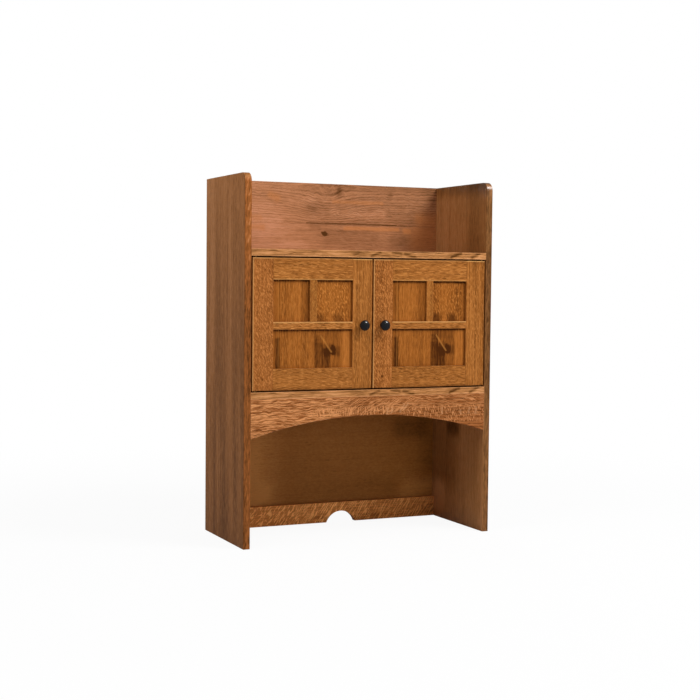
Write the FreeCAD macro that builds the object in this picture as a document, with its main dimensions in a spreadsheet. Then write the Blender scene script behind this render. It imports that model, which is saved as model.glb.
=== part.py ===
import FreeCAD, Part
import os

from FreeCAD import Placement, Rotation, Vector

# Office hutch in oak: an open ledge, a two-door cupboard under it, and an open bay with an arched valance.
# Millimetres, +X to the right, +Y to the back, +Z up.
# The origin is on the resting surface, under the middle of the box that holds the hutch and its knobs.

# Driving dimensions: alias, value, what it measures.
SIZES = (
    ("width", 813, "over the two sides"),
    ("depth", 343, "front edge to back edge of a side"),
    ("height", 1086, "resting surface to the top of a side"),
    ("board", 20.6, "thickness of sides, shelves, valance and door frames"),
    ("plank", 12.7, "thickness of the upper back"),
    ("plywood", 6.35, "thickness of the back panel and the door panels"),
    ("ease", 1.5, "round-over of the exposed edges"),
    ("arris", 0.5, "round-over where two frame members meet"),
    ("shelf_level", 868, "top of the upper shelf"),
    ("floor_level", 454, "top of the lower shelf"),
    ("corner_radius", 27, "top front corner of a side"),
    ("dado_depth", 8, "how far a shelf goes into a side"),
    ("dado_stop", 15, "from the front edge to the end of a dado"),
    ("rabbet_depth", 10, "how far the back goes into a side"),
    ("seam_level", 957, "seam between the two planks of the upper back"),
    ("tongue_thick", 4, "tongue of the lower plank"),
    ("tongue_height", 6, "tongue of the lower plank"),
    ("valance_drop", 113.4, "height of the valance at its ends"),
    ("arch_rise", 57, "rise of the arch over its ends"),
    ("arch_shoulder", 5, "flat end of the valance beside the arch"),
    ("block_length", 60, "glue block along the valance"),
    ("block_side", 18, "glue block, height and depth"),
    ("rail_height", 64, "back rail"),
    ("rail_thick", 19, "back rail"),
    ("rail_lap", 12, "how far the back panel laps the rail"),
    ("notch_width", 100, "cable notch along the resting surface"),
    ("notch_rise", 35, "cable notch at its middle"),
    ("notch_offset", 47, "middle of the cable notch, right of the hutch's middle"),
    ("dowel_radius", 4, "dowel of the back rail"),
    ("dowel_in_side", 12, "dowel of the back rail"),
    ("dowel_in_rail", 20, "dowel of the back rail"),
    ("dowel_setback", 6.3, "rail's front face to a dowel"),
    ("peg_radius", 3.175, "shelf pin"),
    ("peg_in_side", 10, "shelf pin and its hole"),
    ("peg_out", 12, "shelf pin in front of the side"),
    ("peg_collar_radius", 5, "collar of a shelf pin"),
    ("peg_collar", 1.5, "collar of a shelf pin"),
    ("peg_pitch", 50, "from one shelf pin hole to the next above it"),
    ("peg_inset", 60, "shelf pin hole from the front and back edges of a side"),
    ("shelf_play", 2, "adjustable shelf to a side or the back"),
    ("shelf_inset", 34, "front edge of a side to the adjustable shelf"),
    ("door_gap", 4, "around and between the doors"),
    ("door_frame", 63.5, "width of a stile or rail"),
    ("door_bar", 22, "width of a mid rail or muntin"),
    ("bar_drop", 4.2, "middle of a door's height down to its mid rail and knob"),
    ("door_ease", 2.5, "round-over of a door's outline"),
    ("panel_inset", 7, "door face to its panel"),
    ("groove_depth", 9, "panel groove of a door frame"),
    ("panel_play", 1, "door panel to the bottom of its groove"),
    ("pivot_in", 10, "hinge edge of a door to its pivot line"),
    ("pivot_back", 7.5, "door face to its pivot line"),
    ("leaf_width", 10, "hinge leaf"),
    ("leaf_reach", 36, "pivot line to the round end's middle of a hinge leaf"),
    ("leaf_thick", 2.5, "hinge leaf"),
    ("hinge_pin_radius", 2.5, "hinge pin"),
    ("hinge_play", 0.05, "hinge pin to its hole in the frame leaf, on the radius"),
    ("pin_in_door", 10, "hinge pin below the door's edge"),
    ("pin_in_frame", 5, "hinge pin beyond the shelf's face"),
    ("pin_room", 0.6, "room around and beyond a pin's tip in the shelf"),
    ("washer_radius", 5, "thrust washer"),
    ("washer_play", 0.2, "thrust washer to the frame leaf"),
    ("knob_reach", 27, "door face to the crown of a knob"),
    ("knob_radius", 16, "head of a knob"),
    ("knob_crown", 8, "half thickness of a knob's head"),
    ("knob_foot_radius", 9.5, "foot of a knob"),
    ("knob_foot", 3, "foot of a knob"),
    ("knob_flare", 8, "height of the flare above a knob's foot"),
    ("knob_neck_radius", 6.5, "neck of a knob"),
    ("bolt_radius", 2, "screw of a knob"),
    ("bolt_in_knob", 12, "screw of a knob"),
    ("bolt_head_radius", 4.2, "screw of a knob"),
    ("bolt_head", 2.4, "screw of a knob"),
    ("catch_length", 76, "housing of the catch"),
    ("catch_width", 18, "housing of the catch"),
    ("catch_height", 14, "housing of the catch"),
    ("catch_play", 0.4, "strike plate to the catch, doors shut"),
    ("magnet_length", 20, "magnet of the catch"),
    ("magnet_width", 8, "magnet of the catch"),
    ("magnet_height", 6, "magnet of the catch"),
    ("magnet_from_middle", 15, "middle of the hutch to a magnet's middle"),
    ("magnet_drop", 9, "upper shelf to a magnet's middle"),
    ("catch_screw_from_middle", 31, "middle of the hutch to a catch screw"),
    ("strike_length", 24, "strike plate"),
    ("strike_height", 11, "strike plate"),
    ("strike_thick", 1.2, "strike plate"),
    ("screw_head_radius", 3.5, "screws of back and catch"),
    ("screw_head", 2.1, "screws of back and catch"),
    ("screw_radius", 1.7, "screws of back and catch"),
    ("panel_screw_length", 16, "screws of the back panel"),
    ("plank_screw_length", 28, "screws of the upper back"),
    ("catch_screw_length", 26, "screws of the catch"),
    ("small_head_radius", 2.7, "screws of hinges and strike plates"),
    ("small_head", 1.5, "screws of hinges and strike plates"),
    ("small_radius", 1.25, "screws of hinges and strike plates"),
    ("small_length", 14, "screws of hinges and strike plates"),
)

doc = FreeCAD.newDocument("office_hutch")
sheet = doc.addObject("Spreadsheet::Sheet", "sizes")
for row, (alias, number, note) in enumerate(SIZES, start=1):
    sheet.set(f"A{row}", note)
    sheet.set(f"B{row}", str(number))
    sheet.setAlias(f"B{row}", alias)
doc.recompute()

# Levels and faces that several pieces share, as expressions over the sheet.
FRONT = "((sizes.knob_reach - sizes.depth) / 2)"
BACK = "((sizes.knob_reach + sizes.depth) / 2)"
INNER = "(sizes.width / 2 - sizes.board)"
SHELF_UNDER = "(sizes.shelf_level - sizes.board)"
FLOOR_UNDER = "(sizes.floor_level - sizes.board)"
VALANCE_LOW = f"({FLOOR_UNDER} - sizes.valance_drop)"
PANEL_LOW = "(sizes.rail_height - sizes.rail_lap)"
PEG_LEVEL = f"((sizes.floor_level + {SHELF_UNDER}) / 2)"

DOOR_BACK = f"({FRONT} + sizes.board)"
DOOR_LOW = "(sizes.floor_level + sizes.door_gap)"
DOOR_TOP = f"({SHELF_UNDER} - sizes.door_gap)"
BAR_LEVEL = f"(({DOOR_LOW} + {DOOR_TOP}) / 2 - sizes.bar_drop)"
PANEL_FRONT = f"({FRONT} + sizes.panel_inset)"
PANEL_BACK = f"({PANEL_FRONT} + sizes.plywood)"

# Distances from the hutch's middle, the same on both doors.
MEETING_EDGE = "(sizes.door_gap / 2)"
MEETING_INSIDE = f"({MEETING_EDGE} + sizes.door_frame)"
HINGE_EDGE = f"({INNER} - sizes.door_gap)"
HINGE_INSIDE = f"({HINGE_EDGE} - sizes.door_frame)"
PIVOT = f"({HINGE_EDGE} - sizes.pivot_in)"
PIVOT_DEPTH = f"({FRONT} + sizes.pivot_back)"
KNOB_PLACE = f"({MEETING_EDGE} + sizes.door_frame / 2)"

HANDS = (("left", -1), ("right", 1))
# The two ends of a door: name, direction out of the door, door edge, face of the shelf beyond it.
DOOR_ENDS = (("top", 1, DOOR_TOP, SHELF_UNDER), ("bottom", -1, DOOR_LOW, "sizes.floor_level"))

AXIS_TURN = {
    "x": Rotation(Vector(0, 1, 0), 90),
    "y": Rotation(Vector(1, 0, 0), -90),
    "z": Rotation(),
}
SAME_PLACE = 0.02

nodes = {}


def value(expression):
    """The number that an expression over the sheet gives."""
    return float(sheet.evalExpression(expression))


def placed(hand, distance):
    """The X of a distance from the middle, on the left or the right."""
    return distance if hand > 0 else f"-({distance})"


def mirrored(hand, low, high):
    """The X span between two distances from the middle, on the left or the right."""
    return (low, high) if hand > 0 else (f"-({high})", f"-({low})")


def reach(start, direction, distance):
    """The span of a distance up or down from a start, lower end first."""
    if direction > 0:
        return (start, f"{start} + {distance}")
    return (f"{start} - ({distance})", start)


def about(middle, size):
    """The span of a size about its middle."""
    return (f"{middle} - ({size}) / 2", f"{middle} + ({size}) / 2")


def size_box(feature, x, y, z):
    """Bind a box to its three spans."""
    for axis, edge, (low, high) in zip("xyz", ("Length", "Width", "Height"), (x, y, z)):
        feature.setExpression(edge, f"({high}) - ({low})")
        feature.setExpression(f"Placement.Base.{axis}", low)
    return feature


def size_drum(feature, axis, radius, x, y, z):
    """Bind a cylinder to its radius, its span along one axis and its centre on the other two."""
    places = {"x": x, "y": y, "z": z}
    low, high = places[axis]
    places[axis] = low
    feature.Placement = Placement(Vector(), AXIS_TURN[axis])
    feature.setExpression("Radius", radius)
    feature.setExpression("Height", f"({high}) - ({low})")
    for name, place in places.items():
        feature.setExpression(f"Placement.Base.{name}", place)
    return feature


def new_body(name):
    return doc.addObject("PartDesign::Body", name)


def add_box(body, name, x, y, z):
    return size_box(body.newObject("PartDesign::AdditiveBox", name), x, y, z)


def cut_box(body, name, x, y, z):
    return size_box(body.newObject("PartDesign::SubtractiveBox", name), x, y, z)


def add_drum(body, name, axis, radius, x, y, z):
    return size_drum(body.newObject("PartDesign::AdditiveCylinder", name), axis, radius, x, y, z)


def cut_drum(body, name, axis, radius, x, y, z):
    return size_drum(body.newObject("PartDesign::SubtractiveCylinder", name), axis, radius, x, y, z)


def loose_box(name, x, y, z):
    return size_box(doc.addObject("Part::Box", name), x, y, z)


def loose_drum(name, axis, radius, x, y, z):
    return size_drum(doc.addObject("Part::Cylinder", name), axis, radius, x, y, z)


def lies_on(edge, axis, expression):
    """Whether a whole edge lies on the plane at one X, Y or Z."""
    place = value(expression)
    low = getattr(edge.BoundBox, f"{axis}Min")
    high = getattr(edge.BoundBox, f"{axis}Max")
    return abs(low - place) < SAME_PLACE and abs(high - place) < SAME_PLACE


def round_over(body, name, radius, chosen):
    """Round over the edges of a body that the test picks."""
    doc.recompute()
    base = body.Tip
    picks = [f"Edge{number}" for number, edge in enumerate(body.Shape.Edges, start=1) if chosen(edge)]
    if not picks:
        raise ValueError(f"{body.Name}: no edge to round over for {name}")
    fillet = body.newObject("PartDesign::Fillet", name)
    fillet.Base = (base, picks)
    fillet.setExpression("Radius", radius)
    doc.recompute()


def keep(feature, label):
    """Name a finished sub-part."""
    feature.Label = label
    nodes[label] = feature


def keep_cut(label, blank, tools):
    """A sub-part made of a blank with the tools' solids cut out of it."""
    tool = tools[0]
    if len(tools) > 1:
        tool = doc.addObject("Part::MultiFuse", f"{label}_tools")
        tool.Shapes = tools
    cut = doc.addObject("Part::Cut", label)
    cut.Base = blank
    cut.Tool = tool
    keep(cut, label)
    return cut


def keep_group(label, pieces):
    """A sub-part of several separate solids."""
    bundle = doc.addObject("Part::Compound", label)
    bundle.Links = pieces
    keep(bundle, label)
    return bundle


def countersunk(gauge, length):
    """A flat-headed screw along +Z, its head's face at zero."""
    head_radius = value(f"sizes.{gauge}_head_radius")
    head = value(f"sizes.{gauge}_head")
    radius = value(f"sizes.{gauge}_radius")
    shank = Part.makeCylinder(radius, value(length) - head, Vector(0, 0, head))
    return Part.makeCone(head_radius, radius, head).fuse(shank).removeSplitter()


def keep_screws(label, screw, places):
    """A sub-part of equal screws, each at a point and pointing along a direction."""
    copies = []
    for point, direction in places:
        copy = screw.copy()
        turn = Rotation(Vector(0, 0, 1), Vector(*direction))
        copy.Placement = Placement(Vector(*[value(part) for part in point]), turn)
        copies.append(copy)
    bundle = doc.addObject("Part::Feature", label)
    bundle.Shape = Part.makeCompound(copies)
    keep(bundle, label)
    return bundle


# Fastenings of the back

BEHIND = (0, -1, 0)
ACROSS = (-0.8, -0.3, 0.3, 0.8)


def make_panel_screws():
    """Screws through the back panel into both shelves, the rail and the sides."""
    levels = (
        "sizes.shelf_level - sizes.board / 2",
        "sizes.floor_level - sizes.board / 2",
        "sizes.rail_height - sizes.rail_lap / 2",
    )
    places = [((f"{INNER} * {part}", BACK, level), BEHIND) for level in levels for part in ACROSS]
    for _, hand in HANDS:
        x = placed(hand, f"{INNER} + sizes.rabbet_depth / 2")
        places += [((x, BACK, f"sizes.shelf_level * {part}"), BEHIND) for part in (0.25, 0.65, 0.85)]
    return keep_screws("panel_screws", countersunk("screw", "sizes.panel_screw_length"), places)


def make_plank_screws():
    """Screws through the two planks of the upper back into the sides."""
    places = []
    for _, hand in HANDS:
        x = placed(hand, f"{INNER} + sizes.rabbet_depth / 2")
        for low, high in (("sizes.shelf_level", "sizes.seam_level"), ("sizes.seam_level", "sizes.height")):
            for part in (0.25, 0.75):
                places.append(((x, BACK, f"{low} + ({high} - {low}) * {part}"), BEHIND))
    return keep_screws("plank_screws", countersunk("screw", "sizes.plank_screw_length"), places)


def make_rail_dowels():
    depth = f"{BACK} - sizes.rail_thick + sizes.dowel_setback"
    dowels = []
    for name, hand in HANDS:
        x = mirrored(hand, f"{INNER} - sizes.dowel_in_rail", f"{INNER} + sizes.dowel_in_side")
        for part in (0.3, 0.65):
            level = f"sizes.rail_height * {part}"
            dowels.append(loose_drum(f"{name}_dowel", "x", "sizes.dowel_radius", x, depth, level))
    return keep_group("rail_dowels", dowels)


# Adjustable shelf and its pins

PEG_DEPTHS = (f"{FRONT} + sizes.peg_inset", f"{BACK} - sizes.peg_inset")


def make_shelf_pins():
    pins = []
    for name, hand in HANDS:
        shank = mirrored(hand, f"{INNER} - sizes.peg_out", f"{INNER} + sizes.peg_in_side")
        collar = mirrored(hand, f"{INNER} - sizes.peg_collar", INNER)
        for depth in PEG_DEPTHS:
            pin = new_body(f"{name}_shelf_pin")
            add_drum(pin, "shank", "x", "sizes.peg_radius", shank, depth, PEG_LEVEL)
            add_drum(pin, "collar", "x", "sizes.peg_collar_radius", collar, depth, PEG_LEVEL)
            pins.append(pin)
    keep_group("shelf_pins", pins)


def peg_holes(hand):
    """The shelf pin holes of one side, three in a column."""
    x = mirrored(hand, INNER, f"{INNER} + sizes.peg_in_side")
    return [
        loose_drum("peg_hole", "x", "sizes.peg_radius", x, depth, f"{PEG_LEVEL} + {step} * sizes.peg_pitch")
        for depth in PEG_DEPTHS
        for step in (-1, 0, 1)
    ]


def make_adjustable_shelf():
    shelf = new_body("adjustable_shelf")
    front = f"{FRONT} + sizes.shelf_inset"
    ends = f"{INNER} - sizes.shelf_play"
    y = (front, f"{BACK} - sizes.plywood - sizes.shelf_play")
    z = (f"{PEG_LEVEL} + sizes.peg_radius", f"{PEG_LEVEL} + sizes.peg_radius + sizes.board")
    add_box(shelf, "plank", (f"-({ends})", ends), y, z)
    round_over(shelf, "front_edges", "sizes.ease", lambda edge: lies_on(edge, "Y", front))
    keep(shelf, "adjustable_shelf")


# Carcass boards


def make_side(name, hand, tools):
    """A side: dadoes for the shelves, rabbets for the back, a round top front corner."""
    side = new_body(f"{name}_side_blank")
    outer = placed(hand, "sizes.width / 2")
    inner = placed(hand, INNER)
    dado = mirrored(hand, INNER, f"{INNER} + sizes.dado_depth")
    rabbet = mirrored(hand, INNER, f"{INNER} + sizes.rabbet_depth")
    x = mirrored(hand, INNER, "sizes.width / 2")
    add_box(side, "plank", x, (FRONT, BACK), ("0", "sizes.height"))
    for level in ("sizes.shelf_level", "sizes.floor_level"):
        y = (f"{FRONT} + sizes.dado_stop", f"{BACK} - sizes.plywood")
        cut_box(side, "dado", dado, y, (f"{level} - sizes.board", level))
    plank_z = ("sizes.shelf_level", "sizes.height")
    cut_box(side, "plank_rabbet", rabbet, (f"{BACK} - sizes.plank", BACK), plank_z)
    panel_z = (PANEL_LOW, "sizes.shelf_level")
    cut_box(side, "panel_rabbet", rabbet, (f"{BACK} - sizes.plywood", BACK), panel_z)

    def front_corner(edge):
        return lies_on(edge, "Y", FRONT) and lies_on(edge, "Z", "sizes.height")

    def outline(edge):
        along = lies_on(edge, "X", outer) or lies_on(edge, "X", inner)
        middle = edge.BoundBox.Center
        curved = middle.z > value("sizes.height - sizes.corner_radius")
        ahead = middle.y < value(f"{FRONT} + sizes.corner_radius")
        arc = curved and ahead
        return along and (arc or lies_on(edge, "Y", FRONT) or lies_on(edge, "Z", "sizes.height"))

    round_over(side, "front_corner", "sizes.corner_radius", front_corner)
    round_over(side, "outline", "sizes.ease", outline)
    keep_cut(f"{name}_side", side, peg_holes(hand) + tools)


def make_shelf(label, level, tools):
    """A fixed shelf: its ends go into the sides behind the stopped front of the dado."""
    shelf = new_body(f"{label}_blank")
    z = (f"{level} - sizes.board", level)
    rear = f"{BACK} - sizes.plywood"
    add_box(shelf, "plank", (f"-{INNER}", INNER), (FRONT, rear), z)
    ends = f"({INNER} + sizes.dado_depth)"
    add_box(shelf, "housed_ends", (f"-{ends}", ends), (f"{FRONT} + sizes.dado_stop", rear), z)

    def front_edges(edge):
        return lies_on(edge, "Y", FRONT) and edge.BoundBox.XLength > edge.BoundBox.ZLength

    round_over(shelf, "front_edges", "sizes.ease", front_edges)
    keep_cut(label, shelf, tools)


def make_valance():
    valance = new_body("valance")
    span = f"({INNER} - sizes.arch_shoulder)"
    radius = f"(({span} ^ 2 + sizes.arch_rise ^ 2) / (2 * sizes.arch_rise))"
    centre = f"{VALANCE_LOW} + sizes.arch_rise - {radius}"
    y = (FRONT, f"{FRONT} + sizes.board")
    add_box(valance, "plank", (f"-{INNER}", INNER), y, (VALANCE_LOW, FLOOR_UNDER))
    cut_drum(valance, "arch", "y", radius, "0", y, centre)

    def arch_edges(edge):
        on_face = lies_on(edge, "Y", y[0]) or lies_on(edge, "Y", y[1])
        return on_face and edge.Curve.TypeId == "Part::GeomCircle"

    round_over(valance, "arch_edges", "sizes.ease", arch_edges)
    keep(valance, "valance")


def make_glue_blocks():
    """Blocks in the corner between the valance and the lower shelf."""
    y = reach(f"({FRONT} + sizes.board)", 1, "sizes.block_side")
    z = reach(FLOOR_UNDER, -1, "sizes.block_side")
    blocks = [
        loose_box("glue_block", about(f"{INNER} * {part}", "sizes.block_length"), y, z)
        for part in (-0.75, -0.25, 0.25, 0.75)
    ]
    keep_group("valance_glue_blocks", blocks)


def make_upper_back(screws):
    """Two planks: the lower one's tongue goes into the upper one."""
    ends = f"({INNER} + sizes.rabbet_depth)"
    x = (f"-{ends}", ends)
    face = f"({BACK} - sizes.plank)"
    tongue_y = about(f"({BACK} - sizes.plank / 2)", "sizes.tongue_thick")
    tongue_z = reach("sizes.seam_level", 1, "sizes.tongue_height")
    lower = new_body("lower_plank_blank")
    add_box(lower, "plank", x, (face, BACK), ("sizes.shelf_level", "sizes.seam_level"))
    add_box(lower, "tongue", x, tongue_y, tongue_z)
    upper = new_body("upper_plank_blank")
    add_box(upper, "plank", x, (face, BACK), ("sizes.seam_level", "sizes.height"))
    cut_box(upper, "groove", x, tongue_y, tongue_z)

    def face_edge(level):
        return lambda edge: lies_on(edge, "Y", face) and lies_on(edge, "Z", level)

    for plank in (lower, upper):
        round_over(plank, "seam_edge", "sizes.arris", face_edge("sizes.seam_level"))
    round_over(upper, "top_edge", "sizes.ease", face_edge("sizes.height"))
    keep_cut("upper_back_lower_plank", lower, [screws])
    keep_cut("upper_back_top_plank", upper, [screws])


def make_back_panel(screws):
    ends = f"({INNER} + sizes.rabbet_depth)"
    y = (f"{BACK} - sizes.plywood", BACK)
    panel = loose_box("back_panel_blank", (f"-{ends}", ends), y, (PANEL_LOW, "sizes.shelf_level"))
    keep_cut("back_panel", panel, [screws])


def make_back_rail(tools):
    """The rail under the back panel, with a round notch for cables."""
    rail = new_body("back_rail_blank")
    face = f"({BACK} - sizes.rail_thick)"
    half = "(sizes.notch_width / 2)"
    radius = f"(({half} ^ 2 + sizes.notch_rise ^ 2) / (2 * sizes.notch_rise))"
    x = (f"-{INNER}", INNER)
    add_box(rail, "plank", x, (face, BACK), ("0", "sizes.rail_height"))
    cut_box(rail, "panel_lap", x, (f"{BACK} - sizes.plywood", BACK), (PANEL_LOW, "sizes.rail_height"))
    cut_drum(rail, "notch", "y", radius, "sizes.notch_offset", (face, BACK), f"sizes.notch_rise - {radius}")

    def shown(edge):
        top = lies_on(edge, "Y", face) and lies_on(edge, "Z", "sizes.rail_height")
        on_face = lies_on(edge, "Y", face) or lies_on(edge, "Y", BACK)
        return top or (on_face and edge.Curve.TypeId == "Part::GeomCircle")

    round_over(rail, "shown_edges", "sizes.ease", shown)
    keep_cut("back_rail", rail, tools)


# Catch of the doors

CATCH_FRONT = f"({DOOR_BACK} + sizes.strike_thick + sizes.catch_play)"


def make_catch():
    """The catch under the upper shelf. Returns its screws, which also go into the shelf."""
    low = f"({SHELF_UNDER} - sizes.catch_height)"
    places = []
    magnets = []
    for name, hand in HANDS:
        x = placed(hand, "sizes.catch_screw_from_middle")
        places.append(((x, f"{CATCH_FRONT} + sizes.catch_width / 2", low), (0, 0, 1)))
        middle = placed(hand, "sizes.magnet_from_middle")
        magnet_y = reach(CATCH_FRONT, 1, "sizes.magnet_width")
        magnet_z = about(f"({SHELF_UNDER} - sizes.magnet_drop)", "sizes.magnet_height")
        magnet_x = about(middle, "sizes.magnet_length")
        magnets.append(loose_box(f"{name}_magnet", magnet_x, magnet_y, magnet_z))
    screws = keep_screws("catch_screws", countersunk("screw", "sizes.catch_screw_length"), places)
    group = keep_group("catch_magnets", magnets)
    housing = new_body("catch_housing_blank")
    y = reach(CATCH_FRONT, 1, "sizes.catch_width")
    add_box(housing, "housing", about("0", "sizes.catch_length"), y, (low, SHELF_UNDER))
    round_over(housing, "corners", "sizes.ease", lambda edge: edge.BoundBox.ZLength > 1)
    keep_cut("catch_housing", housing, [group, screws])
    return screws


# Knife hinges: a leaf let into the door's end, a leaf let into the shelf, a pin and a washer between them

LEAF_SCREWS = (0.4, 0.8)


def leaf_blank(name, hand, z, hole_radius):
    """A hinge leaf with round ends, and the pin's hole."""
    leaf = new_body(name)
    far = f"({PIVOT} - sizes.leaf_reach)"
    add_box(leaf, "strip", mirrored(hand, far, PIVOT), about(PIVOT_DEPTH, "sizes.leaf_width"), z)
    for end in (far, PIVOT):
        add_drum(leaf, "round_end", "z", "sizes.leaf_width / 2", placed(hand, end), PIVOT_DEPTH, z)
    cut_drum(leaf, "pin_hole", "z", hole_radius, placed(hand, PIVOT), PIVOT_DEPTH, z)
    return leaf


def leaf_screw_places(hand, level, direction):
    """Where the screws of one leaf start, and which way they go."""
    return [
        ((placed(hand, f"{PIVOT} - sizes.leaf_reach * {part}"), PIVOT_DEPTH, level), (0, 0, direction))
        for part in LEAF_SCREWS
    ]


def make_frame_leaves():
    """The leaves in the two shelves. Returns what each shelf has to be cut for."""
    places = []
    for _, hand in HANDS:
        for _, out, _, face in DOOR_ENDS:
            places += leaf_screw_places(hand, face, out)
    screws = keep_screws("frame_hinge_screws", countersunk("small", "sizes.small_length"), places)
    tools = {"top": [screws], "bottom": [screws]}
    for name, hand in HANDS:
        leaves = []
        for end, out, _, face in DOOR_ENDS:
            z = reach(face, out, "sizes.leaf_thick")
            hole_radius = "sizes.hinge_pin_radius + sizes.hinge_play"
            blank = leaf_blank(f"{name}_{end}_frame_leaf_blank", hand, z, hole_radius)
            leaf = doc.addObject("Part::Cut", f"{name}_{end}_frame_leaf")
            leaf.Base = blank
            leaf.Tool = screws
            room = "sizes.hinge_pin_radius + sizes.pin_room"
            depth = reach(face, out, "sizes.pin_in_frame + sizes.pin_room")
            hole = loose_drum(f"{name}_{end}_pin_room", "z", room, placed(hand, PIVOT), PIVOT_DEPTH, depth)
            leaves.append(leaf)
            tools[end] += [blank, hole]
        keep_group(f"{name}_frame_hinge_leaves", leaves)
    return tools


def make_door_hinges(name, hand):
    """Leaves, pins, washers and screws of one door. Returns what the hinge stile has to be cut for."""
    places = []
    for _, out, edge, _ in DOOR_ENDS:
        places += leaf_screw_places(hand, edge, -out)
    screws = keep_screws(f"{name}_door_hinge_screws", countersunk("small", "sizes.small_length"), places)
    x = placed(hand, PIVOT)
    leaves, pins, washers = [], [], []
    for end, out, edge, _ in DOOR_ENDS:
        z = reach(edge, -out, "sizes.leaf_thick")
        blank = leaf_blank(f"{name}_{end}_door_leaf_blank", hand, z, "sizes.hinge_pin_radius")
        leaf = doc.addObject("Part::Cut", f"{name}_{end}_door_leaf")
        leaf.Base = blank
        leaf.Tool = screws
        leaves.append(leaf)
        start = f"({edge} - ({out}) * sizes.pin_in_door)"
        length = "sizes.pin_in_door + sizes.door_gap + sizes.pin_in_frame"
        pin_name = f"{name}_{end}_hinge_pin"
        pin_z = reach(start, out, length)
        pins.append(loose_drum(pin_name, "z", "sizes.hinge_pin_radius", x, PIVOT_DEPTH, pin_z))
        washer = new_body(f"{name}_{end}_washer")
        thick = reach(edge, out, "sizes.door_gap - sizes.washer_play")
        add_drum(washer, "disc", "z", "sizes.washer_radius", x, PIVOT_DEPTH, thick)
        cut_drum(washer, "hole", "z", "sizes.hinge_pin_radius", x, PIVOT_DEPTH, thick)
        washers.append(washer)
    tools = [keep_group(f"{name}_door_hinge_leaves", leaves), keep_group(f"{name}_hinge_pins", pins), screws]
    keep_group(f"{name}_hinge_washers", washers)
    return tools


# Knobs and strike plates


def make_knob(name, hand):
    """A mushroom knob and the screw that holds it. Returns the screw."""
    label = f"{name}_knob_screw"
    x = placed(hand, KNOB_PLACE)
    tip = f"{FRONT} - sizes.bolt_in_knob"
    bolt = new_body(label)
    add_drum(bolt, "shank", "y", "sizes.bolt_radius", x, (tip, DOOR_BACK), BAR_LEVEL)
    head = (DOOR_BACK, f"{DOOR_BACK} + sizes.bolt_head")
    add_drum(bolt, "head", "y", "sizes.bolt_head_radius", x, head, BAR_LEVEL)
    keep(bolt, label)

    knob = new_body(f"{name}_knob_blank")
    knob.Placement = Placement(Vector(), Rotation(Vector(1, 0, 0), 90))
    for axis, place in zip("xyz", (x, FRONT, BAR_LEVEL)):
        knob.setExpression(f"Placement.Base.{axis}", place)
    crown = "(sizes.knob_reach - sizes.knob_crown)"
    add_drum(knob, "foot", "z", "sizes.knob_foot_radius", "0", "0", ("0", "sizes.knob_foot"))
    flare = knob.newObject("PartDesign::AdditiveCone", "flare")
    flare.setExpression("Radius1", "sizes.knob_foot_radius")
    flare.setExpression("Radius2", "sizes.knob_neck_radius")
    flare.setExpression("Height", "sizes.knob_flare")
    flare.setExpression("Placement.Base.z", "sizes.knob_foot")
    add_drum(knob, "neck", "z", "sizes.knob_neck_radius", "0", "0", ("sizes.knob_foot", crown))
    top = knob.newObject("PartDesign::AdditiveEllipsoid", "head")
    top.setExpression("Radius1", "sizes.knob_crown")
    top.setExpression("Radius2", "sizes.knob_radius")
    top.setExpression("Radius3", "sizes.knob_radius")
    top.setExpression("Placement.Base.z", crown)
    keep_cut(f"{name}_knob", knob, [bolt])
    return bolt


def make_strike(name, hand):
    """The strike plate on the back of a meeting stile. Returns its screw."""
    middle = placed(hand, "sizes.magnet_from_middle")
    level = f"({SHELF_UNDER} - sizes.magnet_drop)"
    x = about(middle, "sizes.strike_length")
    y = reach(DOOR_BACK, 1, "sizes.strike_thick")
    plate = loose_box(f"{name}_strike_blank", x, y, about(level, "sizes.strike_height"))
    screw = countersunk("small", "sizes.small_length")
    place = ((middle, f"{DOOR_BACK} + sizes.strike_thick", level), BEHIND)
    screws = keep_screws(f"{name}_strike_screw", screw, [place])
    keep_cut(f"{name}_strike_plate", plate, [screws])
    return screws


# Doors: grooved frame, panel let into it, bars on the panel's face


def ease_member(body, outer_edges):
    """Round over a frame member: its outer edges like the door's outline, its other front edges lightly."""

    def outline(edge):
        return lies_on(edge, "Y", FRONT) and outer_edges(edge)

    def inner_edges(edge):
        return lies_on(edge, "Y", FRONT) and not on_outline(edge)

    round_over(body, "outline", "sizes.door_ease", outline)
    round_over(body, "inner_edges", "sizes.arris", inner_edges)


def on_outline(edge):
    """Whether an edge of the front face belongs to the rounded outline of a door."""
    near = value("sizes.door_ease") + SAME_PLACE
    box = edge.BoundBox
    low = box.ZMax < value(DOOR_LOW) + near
    high = box.ZMin > value(DOOR_TOP) - near
    sides = (value(MEETING_EDGE), value(HINGE_EDGE))
    beside = min(abs(abs(box.Center.x) - side) for side in sides)
    upright = box.ZLength > box.XLength and beside < near
    return low or high or upright


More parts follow.
